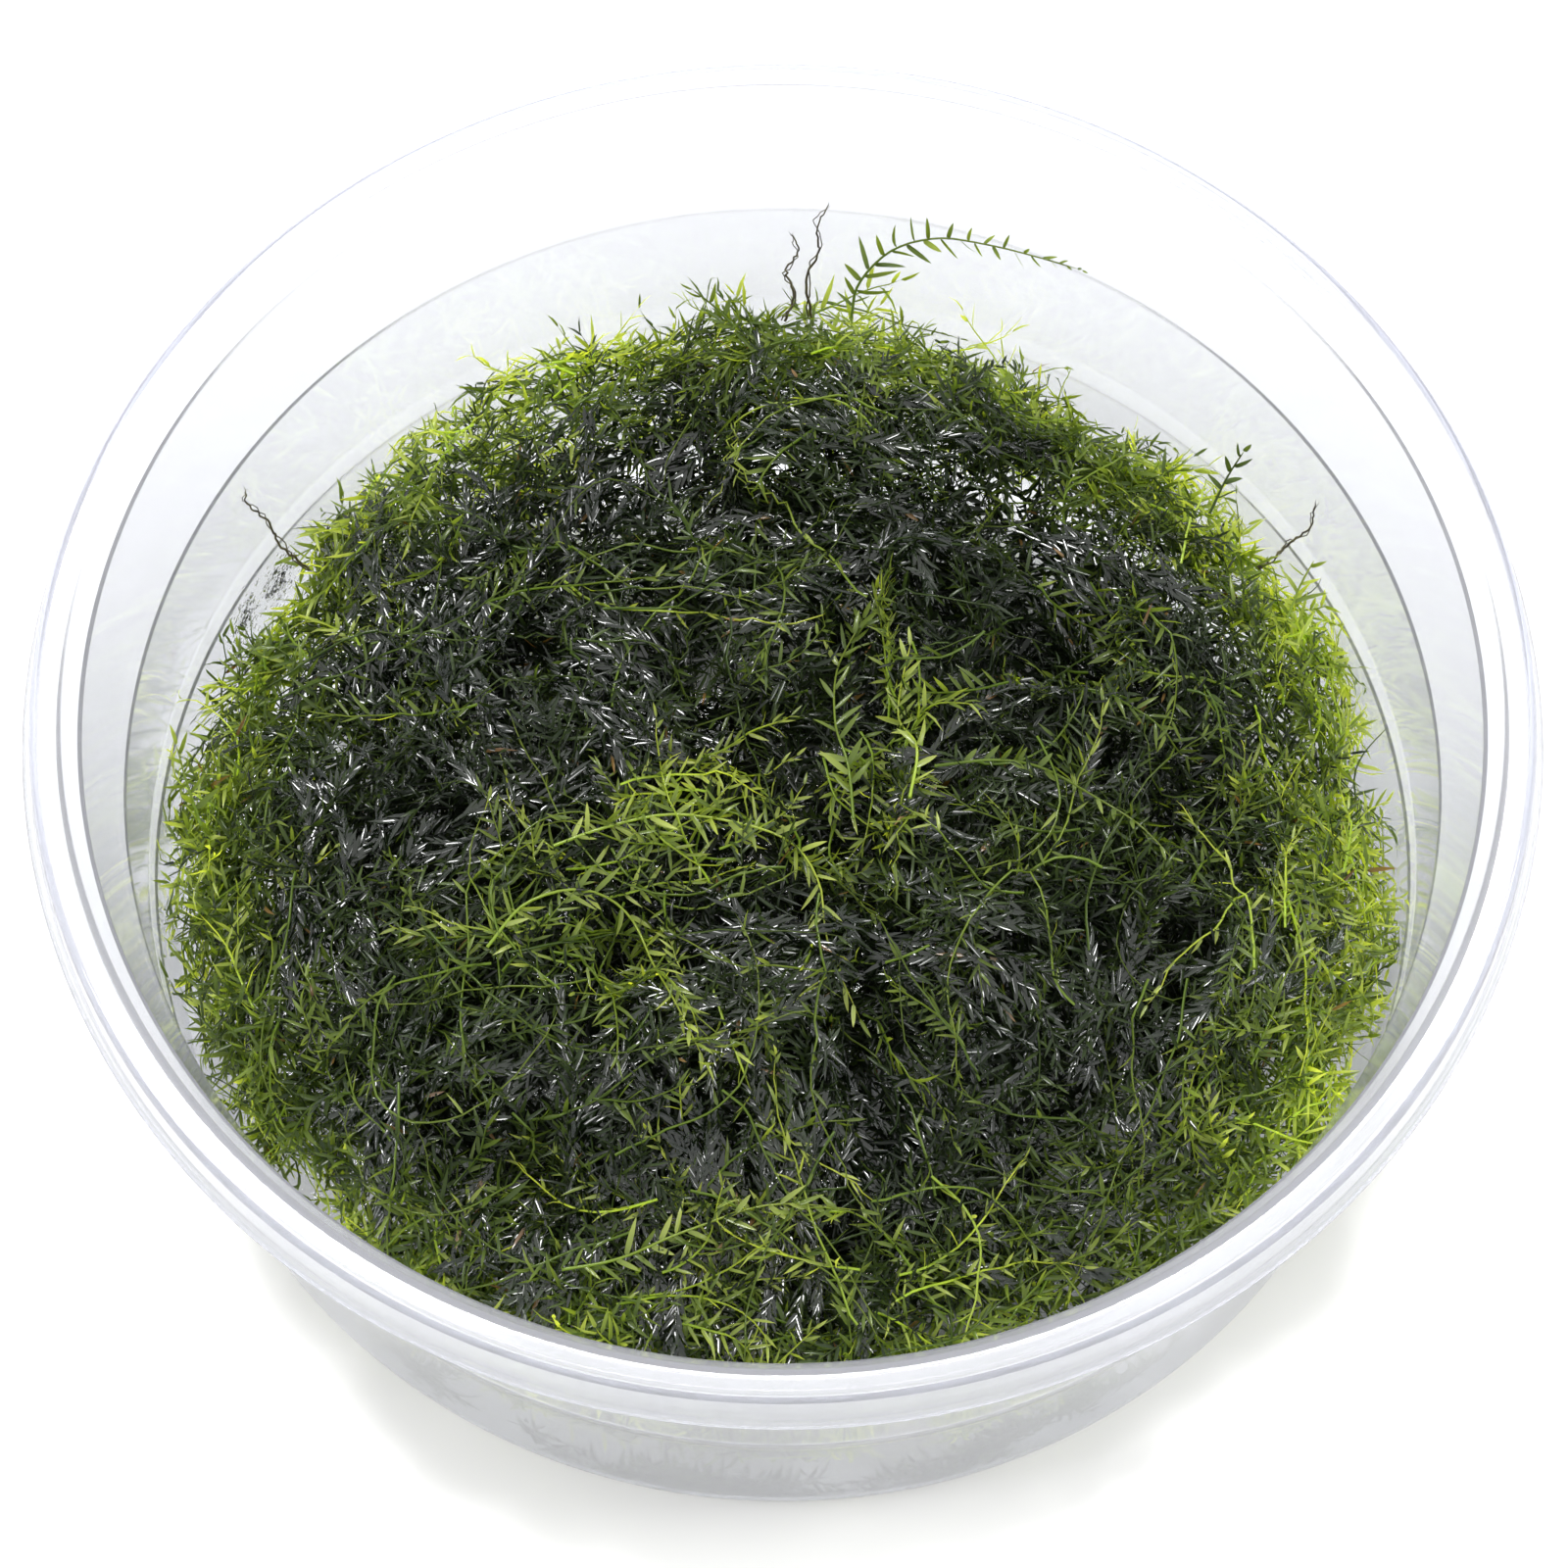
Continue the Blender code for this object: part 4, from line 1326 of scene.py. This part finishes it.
@dataclass
class Droplets:
    """Fine condensation on the wall's inner side, and a few larger beads in front.

    Attributes:
        patches: each patch's bearing and its spread in degrees, height and its spread in mm, the number of
            droplets, and the least and greatest radius in mm.
    """

    cup: Cup
    rng: np.random.Generator
    patches: tuple[tuple[float, float, float, float, int, float, float], ...] = (
        (147.0, 1.5, 13.0, 1.4, 190, 0.12, 0.27),
        (152.5, 1.4, 14.0, 1.4, 170, 0.12, 0.27),
        (-110.0, 3.0, 2.4, 0.5, 60, 0.12, 0.30),
        (-80.0, 3.2, 4.6, 0.9, 9, 0.22, 0.42),
        (-96.0, 12.0, 6.0, 2.6, 34, 0.08, 0.16),
    )
    rings: int = 3
    sides: int = 8
    flatness: float = 0.80

    def build(self, material: Material) -> None:
        """Set low domes on the wall: point = foot + r (cos p (cos t u + sin t v) + flatness sin p n).

        Here n points into the cup, u runs round it and v up it, and each dome is closed at its foot.
        """
        columns = [np.repeat(np.array(column, dtype=float), [int(patch[4]) for patch in self.patches])
                   for column in zip(*self.patches)]
        bearing, bearing_spread, height, height_spread, _, small, large = columns
        count = len(bearing)
        b = np.radians(bearing + bearing_spread * self.rng.normal(0, 1, count))
        z = np.clip(height + height_spread * self.rng.normal(0, 1, count), 1.6, 31.5) * MM
        size = (small + (large - small) * self.rng.uniform(0, 1, count) ** 2) * MM
        reach = self.cup.inner_radius(z) - 0.03 * MM
        foot = np.stack([reach * np.cos(b), reach * np.sin(b), z], axis=-1)
        inward = np.stack([-np.cos(b), -np.sin(b), np.full(count, 0.06)], axis=-1)
        around = np.stack([-np.sin(b), np.cos(b), np.zeros(count)], axis=-1)
        upright = np.cross(inward, around)
        pitch = np.linspace(0.0, math.pi / 2, self.rings + 1)[:-1]
        turn = np.linspace(0.0, TURN, self.sides, endpoint=False)
        p, t = (grid.ravel() for grid in np.meshgrid(pitch, turn, indexing="ij"))
        dome = np.column_stack([np.cos(p) * np.cos(t), np.cos(p) * np.sin(t), self.flatness * np.sin(p)])
        local = np.vstack([dome, (0.0, 0.0, self.flatness), (0.0, 0.0, 0.0)])
        axes = np.stack([around, upright, inward], axis=1)
        vertices = foot[:, None] + size[:, None, None] * np.einsum("kc,ncd->nkd", local, axes)
        index = np.arange(self.rings * self.sides).reshape(self.rings, self.sides)
        beside = np.roll(index, -1, axis=1)
        crown, base = np.full(self.sides, len(local) - 2), np.full(self.sides, len(local) - 1)
        faces = np.concatenate([
            np.stack([index[:-1], beside[:-1], beside[1:]], -1).reshape(-1, 3),
            np.stack([index[:-1], beside[1:], index[1:]], -1).reshape(-1, 3),
            np.stack([index[-1], beside[-1], crown], -1),
            np.stack([beside[0], index[0], base], -1),
        ])
        handed = float(np.linalg.det(axes[0])) > 0
        faces = faces if handed else faces[:, ::-1]
        first = np.arange(count)[:, None, None] * len(local)
        palette = np.broadcast_to(0.5 + 0.4 * local[:, :2], (count, len(local), 2))
        surface = Surface()
        surface.add(vertices, faces[None] + first, palette)
        make_piece("droplets", surface, material, ("cup",))


# ---------------------------------------------------------------- the studio

@dataclass
class Studio:
    """A pale floor, soft lights and the camera.

    Attributes:
        sky_axis: the direction along which the air gets paler, from horizon to zenith, in the sky range.
        lights: each soft light's name, place, side in metres and power in watts; all face the lit place.
    """

    focal_length: float = 135.0
    sensor: float = 36.0
    camera_place: Place = (0.0, -208.4 * MM, 443.4 * MM)
    camera_aim: Place = (0.1 * MM, -7.9 * MM, 45.0 * MM)
    floor_side: float = 7.0
    floor_color: Color = (0.94, 0.94, 0.94)
    horizon: Color = (0.26, 0.27, 0.31)
    zenith: Color = (1.06, 1.06, 1.06)
    sky_axis: Place = (0.0, -0.30, 0.95)
    sky_range: Pair = (-0.10, 0.50)
    lights: tuple[tuple[str, Place, float, float], ...] = (
        ("overhead", (-0.12, 0.50, 1.0), 0.30, 9.0),
        ("left", (-0.9, -0.1, 0.7), 0.36, 3.4),
        ("right", (0.9, 0.1, 0.7), 0.36, 3.4),
    )
    lit_place: Place = (0.0, 0.0, 0.02)

    def camera(self) -> None:
        """Place the camera."""
        data = bpy.data.cameras.new("camera")
        data.lens, data.sensor_width = self.focal_length, self.sensor
        data.clip_start, data.clip_end = 0.01, 20.0
        camera = bpy.data.objects.new("camera", data)
        bpy.context.scene.collection.objects.link(camera)
        camera.location = self.camera_place
        aim = Vector(self.camera_aim) - Vector(self.camera_place)
        camera.rotation_euler = aim.to_track_quat("-Z", "Y").to_euler()
        bpy.context.scene.camera = camera

    def floor(self) -> None:
        """Lay the pale floor."""
        half = self.floor_side / 2
        mesh = bpy.data.meshes.new("floor")
        mesh.from_pydata([(-half, -half, 0), (half, -half, 0), (half, half, 0), (-half, half, 0)], [],
                         [(0, 1, 2, 3)])
        material, _, shader = new_material("floor")
        shader.inputs["Base Color"].default_value = (*self.floor_color, 1.0)
        shader.inputs["Roughness"].default_value = 0.9
        shader.inputs["Specular IOR Level"].default_value = 0.0
        mesh.materials.append(material)
        floor = bpy.data.objects.new("floor", mesh)
        bpy.context.scene.collection.objects.link(floor)
        floor.location = (0.0, 0.0, -0.05 * MM)

    def softbox(self, name: str, place: Place, side: float, power: float) -> None:
        """Hang one square soft light that faces the cup."""
        data = bpy.data.lights.new(name, "AREA")
        data.size, data.energy = side, power
        light = bpy.data.objects.new(name, data)
        bpy.context.scene.collection.objects.link(light)
        light.location = place
        aim = Vector(self.lit_place) - Vector(place)
        light.rotation_euler = aim.to_track_quat("-Z", "Y").to_euler()

    def air(self) -> None:
        """Fill the air with soft light, palest overhead."""
        world = bpy.data.worlds.new("air")
        world.use_nodes = True
        tree = world.node_tree
        direction = tree.nodes.new("ShaderNodeTexCoord")
        rise = tree.nodes.new("ShaderNodeVectorMath")
        rise.operation = "DOT_PRODUCT"
        link(tree, direction.outputs["Generated"], rise.inputs[0])
        rise.inputs[1].default_value = self.sky_axis
        height = tree.nodes.new("ShaderNodeMapRange")
        height.inputs["From Min"].default_value, height.inputs["From Max"].default_value = self.sky_range
        link(tree, rise.outputs["Value"], height.inputs["Value"])
        sky = tree.nodes.new("ShaderNodeMix")
        sky.data_type = "RGBA"
        link(tree, height.outputs["Result"], sky.inputs[0])
        sky.inputs[6].default_value = (*self.horizon, 1.0)
        sky.inputs[7].default_value = (*self.zenith, 1.0)
        link(tree, sky.outputs[2], tree.nodes["Background"].inputs["Color"])
        bpy.context.scene.world = world
        bpy.context.scene.view_settings.view_transform = "Standard"

    def build(self) -> None:
        """Set up the whole studio."""
        self.camera()
        self.floor()
        for name, place, side, power in self.lights:
            self.softbox(name, place, side, power)
        self.air()


def main() -> None:
    """Build the studio, the cup and the moss."""
    logging.basicConfig(level=logging.INFO, format="%(message)s")
    Studio().build()

    low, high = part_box("cup")
    cup = Cup(radius=(high.x - low.x) / 2, height=high.z)
    shell = make_piece("clear_cup", cup.build(), PlasticFinish().material(), ("cup",))
    # Soft light passes the thin clear wall as if it weren't there, so the wall casts no shadow.
    shell.visible_shadow = False
    shell.visible_diffuse = False
    Droplets(cup, np.random.default_rng(14)).build(WaterFinish().material())

    low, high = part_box("moss_mat")
    cushion = Cushion(cup=cup, radius=(high.x - low.x) / 2, foot=low.z, crown=high.z)
    grower = Grower(cushion, np.random.default_rng(5))
    damp = LeafFinish("damp_leaf")
    finishes = {
        "damp": damp.material(),
        "wet": replace(damp, name="wet_leaf", roughness=0.18, specular=0.5, coat=1.0, coat_roughness=0.05,
                       glow=0.12).material(),
        "sunlit": replace(damp, name="sunlit_leaf", roughness=0.34, glow=0.54).material(),
    }
    MossMat(cushion, grower).build(finishes)
    Scraps(cushion, np.random.default_rng(12)).build(finishes["damp"])
    young = replace(damp, name="young_leaf", roughness=0.30, coat=0.35, glow=0.40).material()
    LooseShoots(cushion, np.random.default_rng(9)).build(young, StemFinish().material())


if __name__ == "__main__":
    main()
